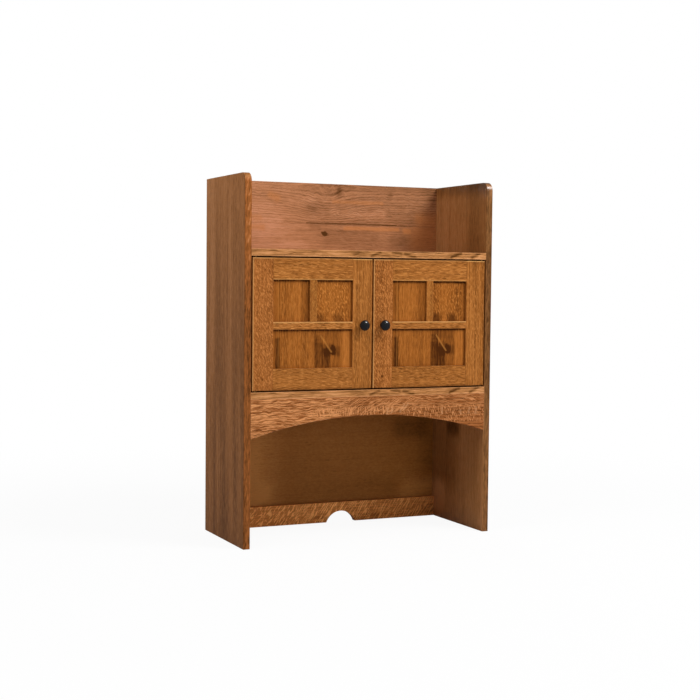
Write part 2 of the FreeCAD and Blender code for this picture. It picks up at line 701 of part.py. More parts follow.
def make_stiles(name, hand, hinge_tools, front_tools):
    y = (FRONT, DOOR_BACK)
    z = (DOOR_LOW, DOOR_TOP)
    groove_y = (PANEL_FRONT, PANEL_BACK)
    hinge_groove = mirrored(hand, HINGE_INSIDE, f"{HINGE_INSIDE} + sizes.groove_depth")
    meeting_groove = mirrored(hand, f"{MEETING_INSIDE} - sizes.groove_depth", MEETING_INSIDE)
    members = (
        ("hinge", HINGE_INSIDE, HINGE_EDGE, HINGE_EDGE, hinge_groove, hinge_tools),
        ("meeting", MEETING_EDGE, MEETING_INSIDE, MEETING_EDGE, meeting_groove, front_tools),
    )
    for member, low, high, outer, groove, tools in members:
        stile = new_body(f"{name}_{member}_stile_blank")
        add_box(stile, "stile", mirrored(hand, low, high), y, z)
        cut_box(stile, "groove", groove, groove_y, z)

        def outer_edges(edge, outer=outer):
            ends = lies_on(edge, "Z", DOOR_LOW) or lies_on(edge, "Z", DOOR_TOP)
            return ends or lies_on(edge, "X", placed(hand, outer))

        ease_member(stile, outer_edges)
        keep_cut(f"{name}_{member}_stile", stile, tools)


def make_rails(name, hand):
    x = mirrored(hand, MEETING_INSIDE, HINGE_INSIDE)
    tenon_x = mirrored(hand, f"{MEETING_INSIDE} - sizes.groove_depth", f"{HINGE_INSIDE} + sizes.groove_depth")
    groove_y = (PANEL_FRONT, PANEL_BACK)
    for end, out, edge, _ in DOOR_ENDS:
        label = f"{name}_{end}_rail"
        rail = new_body(label)
        inside = f"({edge} - ({out}) * sizes.door_frame)"
        add_box(rail, "rail", x, (FRONT, DOOR_BACK), reach(edge, -out, "sizes.door_frame"))
        tenon_z = reach(edge, -out, "(sizes.door_frame - sizes.groove_depth)")
        add_box(rail, "tenons", tenon_x, groove_y, tenon_z)
        cut_box(rail, "groove", x, groove_y, reach(inside, out, "sizes.groove_depth"))
        ease_member(rail, lambda piece, edge=edge: lies_on(piece, "Z", edge))
        keep(rail, label)


def make_infill(name, hand):
    """The panel, and the mid rail and muntin that stand on its face."""
    into = "(sizes.groove_depth - sizes.panel_play)"
    low = f"({DOOR_LOW} + sizes.door_frame)"
    top = f"({DOOR_TOP} - sizes.door_frame)"
    x = mirrored(hand, f"{MEETING_INSIDE} - {into}", f"{HINGE_INSIDE} + {into}")
    z = (f"{low} - {into}", f"{top} + {into}")
    panel = loose_box(f"{name}_door_panel", x, (PANEL_FRONT, PANEL_BACK), z)
    keep(panel, f"{name}_door_panel")

    face = (FRONT, PANEL_FRONT)
    middle = f"(({MEETING_INSIDE} + {HINGE_INSIDE}) / 2)"
    mid_rail_z = about(BAR_LEVEL, "sizes.door_bar")
    bars = (
        ("mid_rail", mirrored(hand, MEETING_INSIDE, HINGE_INSIDE), mid_rail_z),
        ("muntin", about(placed(hand, middle), "sizes.door_bar"), (mid_rail_z[1], top)),
    )
    for bar, bar_x, bar_z in bars:
        label = f"{name}_{bar}"
        body = new_body(label)
        add_box(body, "strip", bar_x, face, bar_z)
        round_over(body, "front_edges", "sizes.arris", lambda edge: lies_on(edge, "Y", FRONT))
        keep(body, label)


def make_door(name, hand):
    hinge_tools = make_door_hinges(name, hand)
    front_tools = [make_knob(name, hand), make_strike(name, hand)]
    make_stiles(name, hand, hinge_tools, front_tools)
    make_rails(name, hand)
    make_infill(name, hand)


def make_carcass():
    panel_screws = make_panel_screws()
    plank_screws = make_plank_screws()
    dowels = make_rail_dowels()
    catch_screws = make_catch()
    leaf_tools = make_frame_leaves()
    for name, hand in HANDS:
        make_side(name, hand, [panel_screws, plank_screws, dowels])
    make_shelf("upper_shelf", "sizes.shelf_level", leaf_tools["top"] + [panel_screws, catch_screws])
    make_shelf("lower_shelf", "sizes.floor_level", leaf_tools["bottom"] + [panel_screws])
    make_valance()
    make_glue_blocks()
    make_upper_back(plank_screws)
    make_back_panel(panel_screws)
    make_back_rail([panel_screws, dowels])
    make_shelf_pins()
    make_adjustable_shelf()


def check():
    """Stop if any object failed or any sub-part has no valid shape."""
    failed = [item.Name for item in doc.Objects if "Invalid" in item.State or "Error" in item.State]
    failed += [label for label, item in nodes.items() if item.Shape.isNull() or not item.Shape.isValid()]
    if failed:
        raise ValueError(f"not built: {', '.join(failed)}")


make_carcass()
for door_name, door_hand in HANDS:
    make_door(door_name, door_hand)
doc.recompute()
check()
os.makedirs("parts", exist_ok=True)
for label, node in nodes.items():
    node.Shape.exportStep(f"parts/{label}.step")
    print(f"{label}: {len(node.Shape.Solids)} solids, {node.Shape.Volume / 1000:.1f} cm3")
print(f"{len(nodes)} sub-parts")
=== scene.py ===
# %% [markdown]
# # An office hutch in stained quartersawn oak
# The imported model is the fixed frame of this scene: every board of the hutch is already cut to size
# and in its place. Blender's job is the light, the camera and above all the finish. Oak is read by
# its grain, its ray flake and its stain, so most of this lesson is about building those from nodes.

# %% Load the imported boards
import math

import bpy
from mathutils import Matrix, Vector


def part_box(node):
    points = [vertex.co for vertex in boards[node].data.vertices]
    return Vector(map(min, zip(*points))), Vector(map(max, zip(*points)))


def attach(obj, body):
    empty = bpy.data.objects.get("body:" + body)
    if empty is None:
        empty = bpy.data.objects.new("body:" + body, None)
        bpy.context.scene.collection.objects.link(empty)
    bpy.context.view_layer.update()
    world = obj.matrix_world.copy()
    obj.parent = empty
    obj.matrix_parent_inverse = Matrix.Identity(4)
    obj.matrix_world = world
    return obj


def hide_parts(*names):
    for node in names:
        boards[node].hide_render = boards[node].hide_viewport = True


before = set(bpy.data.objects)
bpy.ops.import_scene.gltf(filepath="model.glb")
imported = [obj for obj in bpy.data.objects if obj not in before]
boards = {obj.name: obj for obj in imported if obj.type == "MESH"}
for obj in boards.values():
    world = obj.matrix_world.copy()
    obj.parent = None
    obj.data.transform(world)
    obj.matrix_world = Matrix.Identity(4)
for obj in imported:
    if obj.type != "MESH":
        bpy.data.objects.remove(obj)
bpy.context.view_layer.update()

# %% [markdown]
# ## The camera
# The photograph was taken from the front left, a little above the middle of the hutch. Lines that
# run away from the viewer meet at two points, and from these the eye's place, its turn and the lens
# follow. A camera is turned most safely by a matrix whose columns are right, up and backwards.

# %% Place the camera
EYE = Vector((-1.7653, -3.8641, 0.7804))
EYE_TURN, EYE_DIP, EYE_ROLL = 0.42819, 0.05075, 0.00979
LENS_PIXELS, FRAME_PIXELS, SENSOR = 1375.63, 700.0, 36.0
SIGHT_END = 200.0

ahead = Vector((math.sin(EYE_TURN) * math.cos(EYE_DIP), math.cos(EYE_TURN) * math.cos(EYE_DIP),
                -math.sin(EYE_DIP)))
level = Vector((math.cos(EYE_TURN), -math.sin(EYE_TURN), 0.0))
above = level.cross(ahead)
rightward = math.cos(EYE_ROLL) * level + math.sin(EYE_ROLL) * above
upward = math.cos(EYE_ROLL) * above - math.sin(EYE_ROLL) * level

bpy.ops.object.select_all(action="DESELECT")
bpy.ops.object.camera_add()
camera = bpy.context.object
camera.name = "photo_camera"
turn = Matrix((rightward, upward, -ahead)).transposed().to_4x4()
camera.matrix_world = Matrix.Translation(EYE) @ turn
camera.data.sensor_width = SENSOR
camera.data.lens = LENS_PIXELS * SENSOR / FRAME_PIXELS
camera.data.clip_end = SIGHT_END
bpy.context.scene.camera = camera
print("camera lens", round(camera.data.lens, 2), "mm")

# %% [markdown]
# ## Floor and lamps
# A hutch is photographed in a white studio, on a wide pale floor. One large soft lamp hangs high at
# the right of its front: it leaves the faces that look left darker and puts a shadow under each
# rail. A low lamp in front reaches under the arch, a weak one at the left lights the rounded edges
# there, and one behind, which the camera doesn't see, lights the back. The weak lamps and the floor
# aren't mirrored by gloss, so each knob shows one bright spot. Plain view colours keep the stain's
# colours as they are mixed.

# %% Lay the floor and hang the lamps
bpy.context.scene.view_settings.view_transform = "Standard"
FLOOR_RADIUS, FLOOR_SIDES = 30.0, 96
LAMP_TARGET = Vector((0.0, 0.0, 0.6))
# Each lamp: degrees right of the front, degrees up, distance and width in metres, power in watts.
LAMPS = {"key_lamp": (41, 44, 3.6, 1.3, 90.0), "fill_lamp": (14, 8, 4.0, 1.3, 18.0),
         "edge_lamp": (-66, 52, 2.2, 1.2, 20.0), "back_lamp": (168, 9, 4.0, 1.5, 42.0)}

bpy.ops.object.select_all(action="DESELECT")
bpy.ops.mesh.primitive_circle_add(vertices=FLOOR_SIDES, radius=FLOOR_RADIUS, fill_type="NGON")
floor = bpy.context.object
floor.name = "floor"


def hang_lamp(name, side, height, distance, size, power):
    """A square soft lamp that is aimed at the doors."""
    side, height = math.radians(side), math.radians(height)
    aim = Vector((math.sin(side) * math.cos(height), -math.cos(side) * math.cos(height), math.sin(height)))
    bpy.ops.object.select_all(action="DESELECT")
    bpy.ops.object.light_add(type="AREA", location=LAMP_TARGET + aim * distance)
    lamp = bpy.context.object
    lamp.name = name
    lamp.rotation_euler = aim.to_track_quat("Z", "Y").to_euler()
    lamp.data.shape = "SQUARE"
    lamp.data.size = size
    lamp.data.energy = power
    return lamp


lamps = {name: hang_lamp(name, *place) for name, place in LAMPS.items()}
lamps["back_lamp"].visible_camera = False
for unmirrored in (floor, lamps["fill_lamp"], lamps["edge_lamp"]):
    unmirrored.visible_glossy = False
print("floor", FLOOR_RADIUS * 2, "m across, lamps", list(lamps))

# %% [markdown]
# ## White surroundings
# The camera sees pure white around the hutch, but that much light from all sides would wash out
# the shadows. A Light Path node tells the two apart: what is seen is white, what lights is dimmer.
# The floor does the same, and close to the hutch it keeps a little of the real shadow.

# %% White studio
SURROUND, WHITE_SEEN, FLOOR_TONE = 0.22, 1.0, 0.9
FADE_START, FADE_END, NEAR_GLOW = 0.6, 2.6, 0.93
WHITE = (1.0, 1.0, 1.0, 1.0)


def wire(tree, kind, inputs=None, **settings):
    """Adds a node, applies its settings, and fills its sockets with values or links."""
    node = tree.nodes.new(kind)
    for name, value in settings.items():
        setattr(node, name, value)
    for name, value in (inputs or {}).items():
        if isinstance(value, bpy.types.NodeSocket):
            tree.links.new(value, node.inputs[name])
        else:
            node.inputs[name].default_value = value
    return node


studio = bpy.data.worlds.new("white_studio")
studio.use_nodes = True
tree = studio.node_tree
tree.nodes.clear()
seen = wire(tree, "ShaderNodeLightPath").outputs["Is Camera Ray"]
lighting = wire(tree, "ShaderNodeBackground", {"Color": WHITE, "Strength": SURROUND}).outputs[0]
backdrop = wire(tree, "ShaderNodeBackground", {"Color": WHITE, "Strength": WHITE_SEEN}).outputs[0]
chosen = wire(tree, "ShaderNodeMixShader", {0: seen, 1: lighting, 2: backdrop}).outputs[0]
wire(tree, "ShaderNodeOutputWorld", {"Surface": chosen})
bpy.context.scene.world = studio


def new_material(name):
    """An empty material and its node tree."""
    material = bpy.data.materials.new(name)
    material.use_nodes = True
    material.node_tree.nodes.clear()
    return material, material.node_tree


paint, tree = new_material("pale_floor")
spot = wire(tree, "ShaderNodeTexCoord").outputs["Object"]
away = wire(tree, "ShaderNodeVectorMath", {0: spot}, operation="LENGTH").outputs["Value"]
fade = wire(tree, "ShaderNodeMapRange", {"Value": away, "From Min": FADE_START, "From Max": FADE_END,
                                         "To Min": NEAR_GLOW}, interpolation_type="SMOOTHSTEP").outputs[0]
seen = wire(tree, "ShaderNodeLightPath").outputs["Is Camera Ray"]
share = wire(tree, "ShaderNodeMath", {0: fade, 1: seen}, operation="MULTIPLY").outputs[0]
matt = wire(tree, "ShaderNodeBsdfDiffuse", {"Color": (FLOOR_TONE, FLOOR_TONE, FLOOR_TONE, 1.0)}).outputs[0]
glow = wire(tree, "ShaderNodeEmission", {"Color": WHITE, "Strength": WHITE_SEEN}).outputs[0]
blended = wire(tree, "ShaderNodeMixShader", {0: share, 1: matt, 2: glow}).outputs[0]
wire(tree, "ShaderNodeOutputMaterial", {"Surface": blended})
floor.data.materials.append(paint)
print("studio", studio.name, "with", paint.name)

# %% [markdown]
# ## Sums as nodes
# A finish is a web of nodes, and wiring every Math node by hand hides what is meant. Here a value
# that comes out of a node is a Flow: it knows its tree, so a sum with it can be written as on paper,
# and each sign adds one node. A few more words are added: a smooth rise, a cloud of noise, a push by
# noise, and a mix of two colours.

# %% Flows
HALF = (0.5, 0.5, 0.5)


def flow(tree, kind, inputs=None, output=0, **settings):
    """Adds a node and returns what flows from one of its outputs."""
    plain = {name: getattr(value, "socket", value) for name, value in (inputs or {}).items()}
    return Flow(tree, wire(tree, kind, plain, **settings).outputs[output])


class Flow:
    """A value, vector or colour that comes out of a node."""

    def __init__(self, tree, socket):
        self.tree = tree
        self.socket = socket

    def calc(self, operation, *others, **settings):
        """One Math node, or one Vector Math node if a vector takes part."""
        values = (self, *others)
        vectors = [value for value in values if isinstance(value, tuple)
                   or isinstance(value, Flow) and value.socket.type == "VECTOR"]
        kind = "ShaderNodeVectorMath" if vectors else "ShaderNodeMath"
        return flow(self.tree, kind, dict(enumerate(values)), operation=operation, **settings)

    def __add__(self, other):
        return self.calc("ADD", other)

    def __sub__(self, other):
        return self.calc("SUBTRACT", other)

    def __mul__(self, other):
        return self.calc("MULTIPLY", other)

    def __truediv__(self, other):
        return self.calc("DIVIDE", other)

    __radd__, __rmul__ = __add__, __mul__

    def __abs__(self):
        return self.calc("ABSOLUTE")

    def rise(self, low, high):
        """Rises smoothly from 0 at low to 1 at high."""
        return flow(self.tree, "ShaderNodeMapRange", {"Value": self, "From Min": low, "From Max": high},
                    interpolation_type="SMOOTHSTEP")

    def clamped(self):
        """Kept between 0 and 1."""
        return self.calc("MULTIPLY", 1.0, use_clamp=True)

    def mix(self, first, second):
        """Two colours mixed by this share."""
        return flow(self.tree, "ShaderNodeMix", {0: self, 6: first, 7: second}, 2, data_type="RGBA")

    def parts(self):
        """The three parts of a vector."""
        sockets = wire(self.tree, "ShaderNodeSeparateXYZ", {0: self.socket}).outputs
        return [Flow(self.tree, socket) for socket in sockets]

    def turned(self, angle):
        """A vector turned in the plane of a board's face."""
        return flow(self.tree, "ShaderNodeVectorRotate", {"Vector": self, "Angle": angle},
                    rotation_type="Z_AXIS")

    def cloud(self, detail=2.0, roughness=0.5, output=0):
        """Noise at a vector; if the vector is stretched first, the noise follows the grain."""
        inputs = {"Vector": self, "Scale": 1.0, "Detail": detail, "Roughness": roughness}
        return flow(self.tree, "ShaderNodeTexNoise", inputs, output)

    def wobble(self, detail=1.0):
        """A push to any side by noise, of up to a half."""
        return self.cloud(detail, output=1) - HALF


print("flows are ready")

# %% [markdown]
# ## Node groups
# What several boards need, such as grain or a knot, is a node group: built once and placed in each
# material with its own values. Opening a group makes its input sockets, and closing it makes its
# outputs.

# %% Tools for node groups
SOCKETS = {"vectors": "NodeSocketVector", "values": "NodeSocketFloat", "colours": "NodeSocketColor"}


def new_group(name, **inputs):
    """Opens a node group; the inputs of each kind are named in a row, and are returned by name."""
    tree = bpy.data.node_groups.new(name, "ShaderNodeTree")
    for kind, labels in inputs.items():
        for label in labels.split(", "):
            tree.interface.new_socket(label, in_out="INPUT", socket_type=SOCKETS[kind])
    sockets = tree.nodes.new("NodeGroupInput").outputs
    return {socket.name: Flow(tree, socket) for socket in sockets if socket.name}


def close_group(**values):
    """Closes a node group with named outputs, and returns it."""
    tree = next(iter(values.values())).tree
    for label in values:
        kind = {"Vector": "vectors", "Colour": "colours"}.get(label, "values")
        tree.interface.new_socket(label, in_out="OUTPUT", socket_type=SOCKETS[kind])
    wire(tree, "NodeGroupOutput", {label: value.socket for label, value in values.items()})
    print("group", tree.name, "gives", ", ".join(values))
    return tree


def use_group(tree, group, inputs):
    """Places a node group and returns its outputs by name."""
    plain = {name: getattr(value, "socket", value) for name, value in inputs.items()}
    node = wire(tree, "ShaderNodeGroup", plain, node_tree=group)
    return {socket.name: Flow(tree, socket) for socket in node.outputs}


def joined(x, y, z):
    """A vector from its three parts."""
    tree = next(part.tree for part in (x, y, z) if isinstance(part, Flow))
    return flow(tree, "ShaderNodeCombineXYZ", {0: x, 1: y, 2: z})


print("groups can be built")

# %% [markdown]
# ## Grain
# In a board the years of growth lie as long lines. X runs along the grain and Y across the board.
# The lines sway, so the vector is pushed sideways by slow noise first. Then come the year rings, the
# long lines, the short dashes that oak is known by, single fibres, broad streaks and dark pores. The
# smaller a part of a stretch is, the longer the noise lies that way. A seed moves each board to its
# own place in the log.

# %% Group for the grain
LOG_STEP, SIDEWAYS = (1.73, 0.91, 0.57), (0.0, 1.0, 1.0)
# Each bend of the lines: the stretch of its noise, the input that sets its size, and its share of it.
BENDS = (((2.2, 5.0, 5.0), "Sway", 2.6), ((15.0, 24.0, 24.0), "Sway", 0.7),
         ((46.0, 34.0, 34.0), "Ripple", 1.0))
YEAR_STRETCH, YEAR_SPREAD, YEAR_RISE, YEAR_FALL = (0.3, 26.0, 26.0), 2.4, (0.0, 0.38), (1.0, 0.8)
LINE_STRETCH, LINE_LEVELS = (2.5, 190.0, 190.0), (0.32, 0.68)
FIBRE_STRETCH, DASH_LEVELS = (26.0, 620.0, 620.0), (0.34, 0.66)
STREAK_STRETCH, STREAK_LEVELS = (1.3, 17.0, 17.0), (0.3, 0.7)
PORE_STRETCH, PORE_LEVELS, PORE_THINNING = (60.0, 2300.0, 2300.0), (0.6, 0.7), -0.75


def make_growth_lines():
    """Year rings, long lines, short dashes, fibres, streaks and pores along X."""
    given = new_group("growth_lines", vectors="Vector",
                      values="Seed, Sway, Ripple, Spacing, Lean, Dash Length, Dash Width")
    start = given["Vector"] + given["Seed"] * LOG_STEP
    bent = start
    for stretch, wave, share in BENDS:
        bent = bent + (start * stretch).wobble() * (given[wave] * share) * SIDEWAYS
    x, y, z = bent.parts()
    uneven = (bent * YEAR_STRETCH).cloud(detail=1.0) * YEAR_SPREAD
    saw = ((z * given["Lean"] + y) / given["Spacing"] + uneven).calc("FRACT")
    lines = (bent * LINE_STRETCH).cloud(roughness=0.6).rise(*LINE_LEVELS)
    dash = joined(given["Dash Length"], given["Dash Width"], given["Dash Width"])
    return close_group(
        Rings=saw.rise(*YEAR_RISE) * saw.rise(*YEAR_FALL), Lines=lines,
        Dashes=(bent / dash).cloud(roughness=0.55).rise(*DASH_LEVELS),
        Fibre=(bent * FIBRE_STRETCH).cloud(roughness=0.6),
        Streaks=(start * STREAK_STRETCH).cloud().rise(*STREAK_LEVELS),
        Pores=(bent * PORE_STRETCH).cloud(detail=0.0).rise(*PORE_LEVELS) * (lines * PORE_THINNING + 1.0))


growth_lines = make_growth_lines()

# %% [markdown]
# ## Ray flake
# Where oak is sawn through its middle, the rays that run outwards from the pith lie open on the
# face as pale, glossy flakes. They are short and stand at a slant to the grain. Noise that is
# stretched, turned by the slant and cut at a level gives islands of that shape. Reach limits them
# to the stretch of the board where the saw met the rays. The front edge of a board shows the figure
# of its other side, and its blotches are islands too, in the plane of length and thickness.

# %% Groups for the flake and the front edge
FLAKE_WAVE, FRONT_WAVE, WAVE_SIZE = (34.0, 34.0, 8.0), (30.0, 60.0, 8.0), 3.0
ISLAND_DEPTH, ISLAND_BORDER, BLOTCH_LEVELS = 0.05, 0.07, (0.3, 0.7)
REACH_START, REACH_END = 0.75, 1.15
EDGE_START, EDGE_END = 0.001, 0.004


def slanted_islands(vector, given, wave, detail, roughness):
    """Noise in wavy islands of a given length, width and slant to the grain."""
    start = vector + given["Seed"] * LOG_STEP
    slanted = (start + (start * wave).wobble() * (given["Wave"] * WAVE_SIZE)).turned(given["Slant"])
    size = joined(given["Length"], given["Width"], ISLAND_DEPTH)
    return (slanted / size).cloud(detail, roughness)


def make_ray_flake():
    """Pale flakes of a given length, width and slant to the grain, within a reach around a middle."""
    given = new_group("ray_flake", vectors="Vector, Middle, Reach",
                      values="Seed, Slant, Length, Width, Share, Wave")
    islands = slanted_islands(given["Vector"], given, FLAKE_WAVE, detail=1.0, roughness=0.4)
    x, y, z = (abs(given["Vector"] - given["Middle"]) / given["Reach"]).parts()
    low = given["Share"] * -1.0 + 1.0
    return close_group(Flake=islands.rise(low, low + ISLAND_BORDER)
                       * (x.rise(REACH_END, REACH_START) * y.rise(REACH_END, REACH_START)))


def make_front_figure():
    """Blotches on the front edge of a board, from -1 to 1; Front is 1 on that edge."""
    given = new_group("front_figure", vectors="Vector", values="Front, Seed, Length, Width, Slant, Wave")
    x, y, z = given["Vector"].parts()
    flat = joined(x, z, 0.0)
    blotch = slanted_islands(flat, given, FRONT_WAVE, detail=2.0, roughness=0.5)
    return close_group(Figure=blotch.rise(*BLOTCH_LEVELS) * 2.0 + -1.0, Vector=flat,
                       Front=y.rise(given["Front"] + EDGE_END, given["Front"] + EDGE_START))


ray_flake = make_ray_flake()
front_figure = make_front_figure()

# %% [markdown]
# ## Staves, edges, knots and patches
# A wide board is glued up from staves, and each stave has its own tone. Along the edges of a board
# there is a painted highlight, paler where an eased edge would catch the light. A knot pushes the
# grain aside and has a dark heart. A patch is a stretch of darker heartwood, or paler sapwood, with a
# ragged border, and the same patches also paint light and shade in places.

# %% Groups for staves and edges
GLUE_LINE, GLUE_LINE_CORE, SEED_SPREAD = 0.0009, 0.0002, 7.0
# Noise that breaks up the painted highlight along the edges.
EDGE_BREAK_STRETCH, EDGE_BREAK_SPREAD, LEAST_EDGE_BREAK = (22.0, 60.0, 60.0), 1.5, 0.25


def make_glued_staves():
    """A tone and a seed for each stave across the board, and the fine glue line between two."""
    given = new_group("glued_staves", vectors="Vector", values="Width, Shift, Seed")
    x, y, z = given["Vector"].parts()
    place = (y + given["Shift"]) / given["Width"]
    number = place.calc("FLOOR") + given["Seed"]
    draw = flow(number.tree, "ShaderNodeTexWhiteNoise", {"W": number}, noise_dimensions="1D")
    near = place.calc("PINGPONG", 0.5) * given["Width"]
    return close_group(Tone=draw * 2.0 + -1.0, Seed=draw * SEED_SPREAD + given["Seed"],
                       Joint=near.rise(GLUE_LINE, GLUE_LINE_CORE))


def make_edge_highlights():
    """Painted highlight: 1 on a board's edges of a given half size, fading over a width, broken by noise."""
    given = new_group("edge_highlights", vectors="Vector, Half", values="Width")
    x, y, z = (given["Half"] - abs(given["Vector"])).parts()
    second = x.calc("MINIMUM", y).calc("MAXIMUM", x.calc("MAXIMUM", y).calc("MINIMUM", z))
    edge_breakup = (given["Vector"] * EDGE_BREAK_STRETCH).cloud() * EDGE_BREAK_SPREAD + LEAST_EDGE_BREAK
    return close_group(Edge=(second / edge_breakup).rise(given["Width"], 0.0))


glued_staves = make_glued_staves()
edge_highlights = make_edge_highlights()

# %% Groups for knots and patches
KNOT_BORDER, PATCH_BORDER = (90.0, 90.0, 20.0), (26.0, 75.0, 20.0)
KNOT_CORE, KNOT_SPREAD, LEAST_KNOT = 0.45, 1.6, 0.4


def make_knot_pull():
    """Pushes the grain aside around a knot; Core is the knot's heart and Halo the wood around it."""
    given = new_group("knot_pull", vectors="Vector, Place", values="Reach, Stretch, Pull, Heart")
    apart = given["Vector"] - given["Place"]
    x, y, z = apart.parts()
    slim = x / given["Stretch"]
    far = (slim * slim + y * y).calc("SQRT")
    ratio = far / given["Reach"]
    halo = (ratio * ratio * -1.0).calc("EXPONENT")
    border = given["Heart"] * ((apart * KNOT_BORDER).cloud(detail=1.0) * KNOT_SPREAD + LEAST_KNOT)
    pull = joined(0.0, y * -1.0 * (halo * given["Pull"]), 0.0)
    return close_group(Vector=given["Vector"] + pull, Core=far.rise(border, border * KNOT_CORE), Halo=halo)


def make_tone_patch():
    """1 inside an oblong of a given half size, with a soft ragged border, slanted across the grain."""
    given = new_group("tone_patch", vectors="Vector, Place",
                      values="Half Along, Half Across, Slant, Soft, Ragged")
    push = (given["Vector"] * PATCH_BORDER).wobble(detail=2.0) * given["Ragged"]
    x, y, z = (given["Vector"] - given["Place"] + push).turned(given["Slant"]).parts()
    along, across = (abs(part).rise(half + given["Soft"], half - given["Soft"])
                     for part, half in ((x, given["Half Along"]), (y, given["Half Across"])))
    return close_group(Mask=along * across)


knot_pull = make_knot_pull()
tone_patch = make_tone_patch()

# %% [markdown]
# ## Stain and lacquer
# Stain sinks into the open early wood and leaves the late wood paler, so one tone that runs from
# dark to light through a middle colour gives every shade. The flakes take little stain. Satin
# lacquer lies over all of it: smoother on the flakes, and sunk a little into the pores.

# %% Group for the stain
# The level of each mask of the grain at which it leaves the tone as it is.
GRAIN_LEVELS = {"Rings": 0.8, "Lines": 0.5, "Dashes": 0.5, "Streaks": 0.5, "Fibre": 0.5}
PORE_STAIN = 0.55
LACQUER_ROUGHNESS, DASH_GLOSS, PORE_GLOSS, FLAKE_GLOSS = 0.46, -0.08, 0.16, -0.1
FIBRE_HEIGHT, PORE_HEIGHT, DASH_HEIGHT = 0.25, -0.8, 0.2


def make_oak_stain():
    """Colour, roughness and height of stained oak from its grain."""
    masks = ", ".join(f"{mask}, {mask} Depth" for mask in GRAIN_LEVELS)
    given = new_group("oak_stain", values=masks + ", Pores, Flake, Cream, Tone, Edge, Edge Depth",
                      colours="Dark, Middle, Light, Flake Colour, Cream Colour")
    tone = given["Tone"] + 0.5
    for mask, level in GRAIN_LEVELS.items():
        tone = tone + (given[mask] - level) * given[mask + " Depth"]
    colour = (tone * 2.0).clamped().mix(given["Dark"], given["Middle"])
    for share, second in (
            ((tone * 2.0 + -1.0).clamped(), "Light"), (given["Flake"], "Flake Colour"),
            (given["Cream"], "Cream Colour"), (given["Edge"] * given["Edge Depth"], "Light"),
            (given["Pores"] * PORE_STAIN, "Dark")):
        colour = share.mix(colour, given[second])
    return close_group(
        Colour=colour, Roughness=given["Dashes"] * DASH_GLOSS + LACQUER_ROUGHNESS
        + given["Pores"] * PORE_GLOSS + given["Flake"] * FLAKE_GLOSS,
        Height=given["Fibre"] * FIBRE_HEIGHT + given["Pores"] * PORE_HEIGHT + given["Dashes"] * DASH_HEIGHT)


oak_stain = make_oak_stain()

# %% [markdown]
# ## The lay of a board
# Each board was cut from its own place in a log, so each gets its own material from the same
# groups. Its Mapping node turns the board's length to X and its width to Y and puts the middle of
# the board at zero. Masks find the ends, where the grain stands upright and drinks more stain, and
# the wide faces.

# %% Board coordinates and masks
AXES = {"x": Vector((1, 0, 0)), "y": Vector((0, 1, 0)), "z": Vector((0, 0, 1))}
END_GRAIN, END_START, END_FULL = -0.2, 0.35, 0.95
FACE_START, FACE_FULL = 0.0024, 0.001


def tint(red, green, blue):
    """A colour as it looks on the screen, 0 to 255, made linear."""
    shares = [value / 255.0 for value in (red, green, blue)]
    return (*(v / 12.92 if v <= 0.04045 else ((v + 0.055) / 1.055) ** 2.4 for v in shares), 1.0)


def scaled(colour, shares):
    """A colour with each of its three parts multiplied."""
    return (*(value * share for value, share in zip(colour, shares)), 1.0)


def board_vector(tree, low, high, turn):
    """Object coordinates with the grain along X and the board's middle at zero, and its half size."""
    middle = (Vector(low) + Vector(high)) / 2
    half = turn @ ((Vector(high) - Vector(low)) / 2)
    place = flow(tree, "ShaderNodeTexCoord", output="Object")
    mapped = flow(tree, "ShaderNodeMapping", {"Vector": place, "Location": -(turn @ middle),
                                              "Rotation": turn.to_euler()})
    return mapped, tuple(abs(value) for value in half)


def end_grain(tree, along):
    """A darker tone where the grain stands on end."""
    facing = flow(tree, "ShaderNodeTexCoord", output="Normal")
    upright = flow(tree, "ShaderNodeVectorMath", {0: facing, 1: along}, "Value", operation="DOT_PRODUCT")
    return abs(upright).rise(END_START, END_FULL) * END_GRAIN


def face_masks(vector, half, facing):
    """1 on the wide face that looks the way of facing, in the board's own axes, and 1 on both."""
    x, y, z = vector.parts()
    return [outward.rise(half[2] - FACE_START, half[2] - FACE_FULL) for outward in (z * facing.z, abs(z))]


print("boards can be mapped")

# %% [markdown]
# ## What makes a board special
# Knots, flakes, patches and the figure of a front edge are set by a few values each. A small
# function per kind puts names to these values, so a board's look reads like a maker's note. Places
# are in metres from the middle of the board: first along the grain, then across it. A negative
# depth is darker, a positive one paler.

# %% Special features
FAR = 9.0


def patch(x, y, along, across, soft, depth, slant=0.0, ragged=0.0):
    """A patch of tone: place, half size along and across, soft border, depth, slant and raggedness."""
    return depth, {"Place": (x, y, 0.0), "Half Along": along, "Half Across": across, "Soft": soft,
                   "Slant": slant, "Ragged": ragged}


def flake(slant, length, width, share, wave, depth, middle=(0.0, 0.0), reach=(FAR, FAR)):
    """Flakes of a slant, a size, a share of the face, a waviness and a depth, around a middle."""
    return depth, {"Slant": slant, "Length": length, "Width": width, "Share": share, "Wave": wave,
                   "Middle": (*middle, 0.0), "Reach": (*reach, FAR)}


def knot(x, y, reach, stretch, pull, heart, depth):
    """A knot: its place, the reach, stretch and pull of the bent grain, its heart's size and depth."""
    return depth, {"Place": (x, y, 0.0), "Reach": reach, "Stretch": stretch, "Pull": pull, "Heart": heart}


def front_edge(length, width, slant, wave, depth, tone):
    """The front edge: size, slant, waviness and depth of its blotches, and the tone of all of it."""
    return depth, tone, {"Length": length, "Width": width, "Slant": slant, "Wave": wave}


def overall(tone):
    """One tone over a whole board."""
    return patch(0.0, 0.0, FAR, FAR, 0.01, tone)


def add_patches(tone, vector, patches, mask=None):
    """Adds the dark and pale patches of a board to a tone, within a mask."""
    for depth, shape in patches:
        spot = use_group(vector.tree, tone_patch, {"Vector": vector, **shape})["Mask"]
        tone = tone + (spot * mask if mask else spot) * depth
    return tone


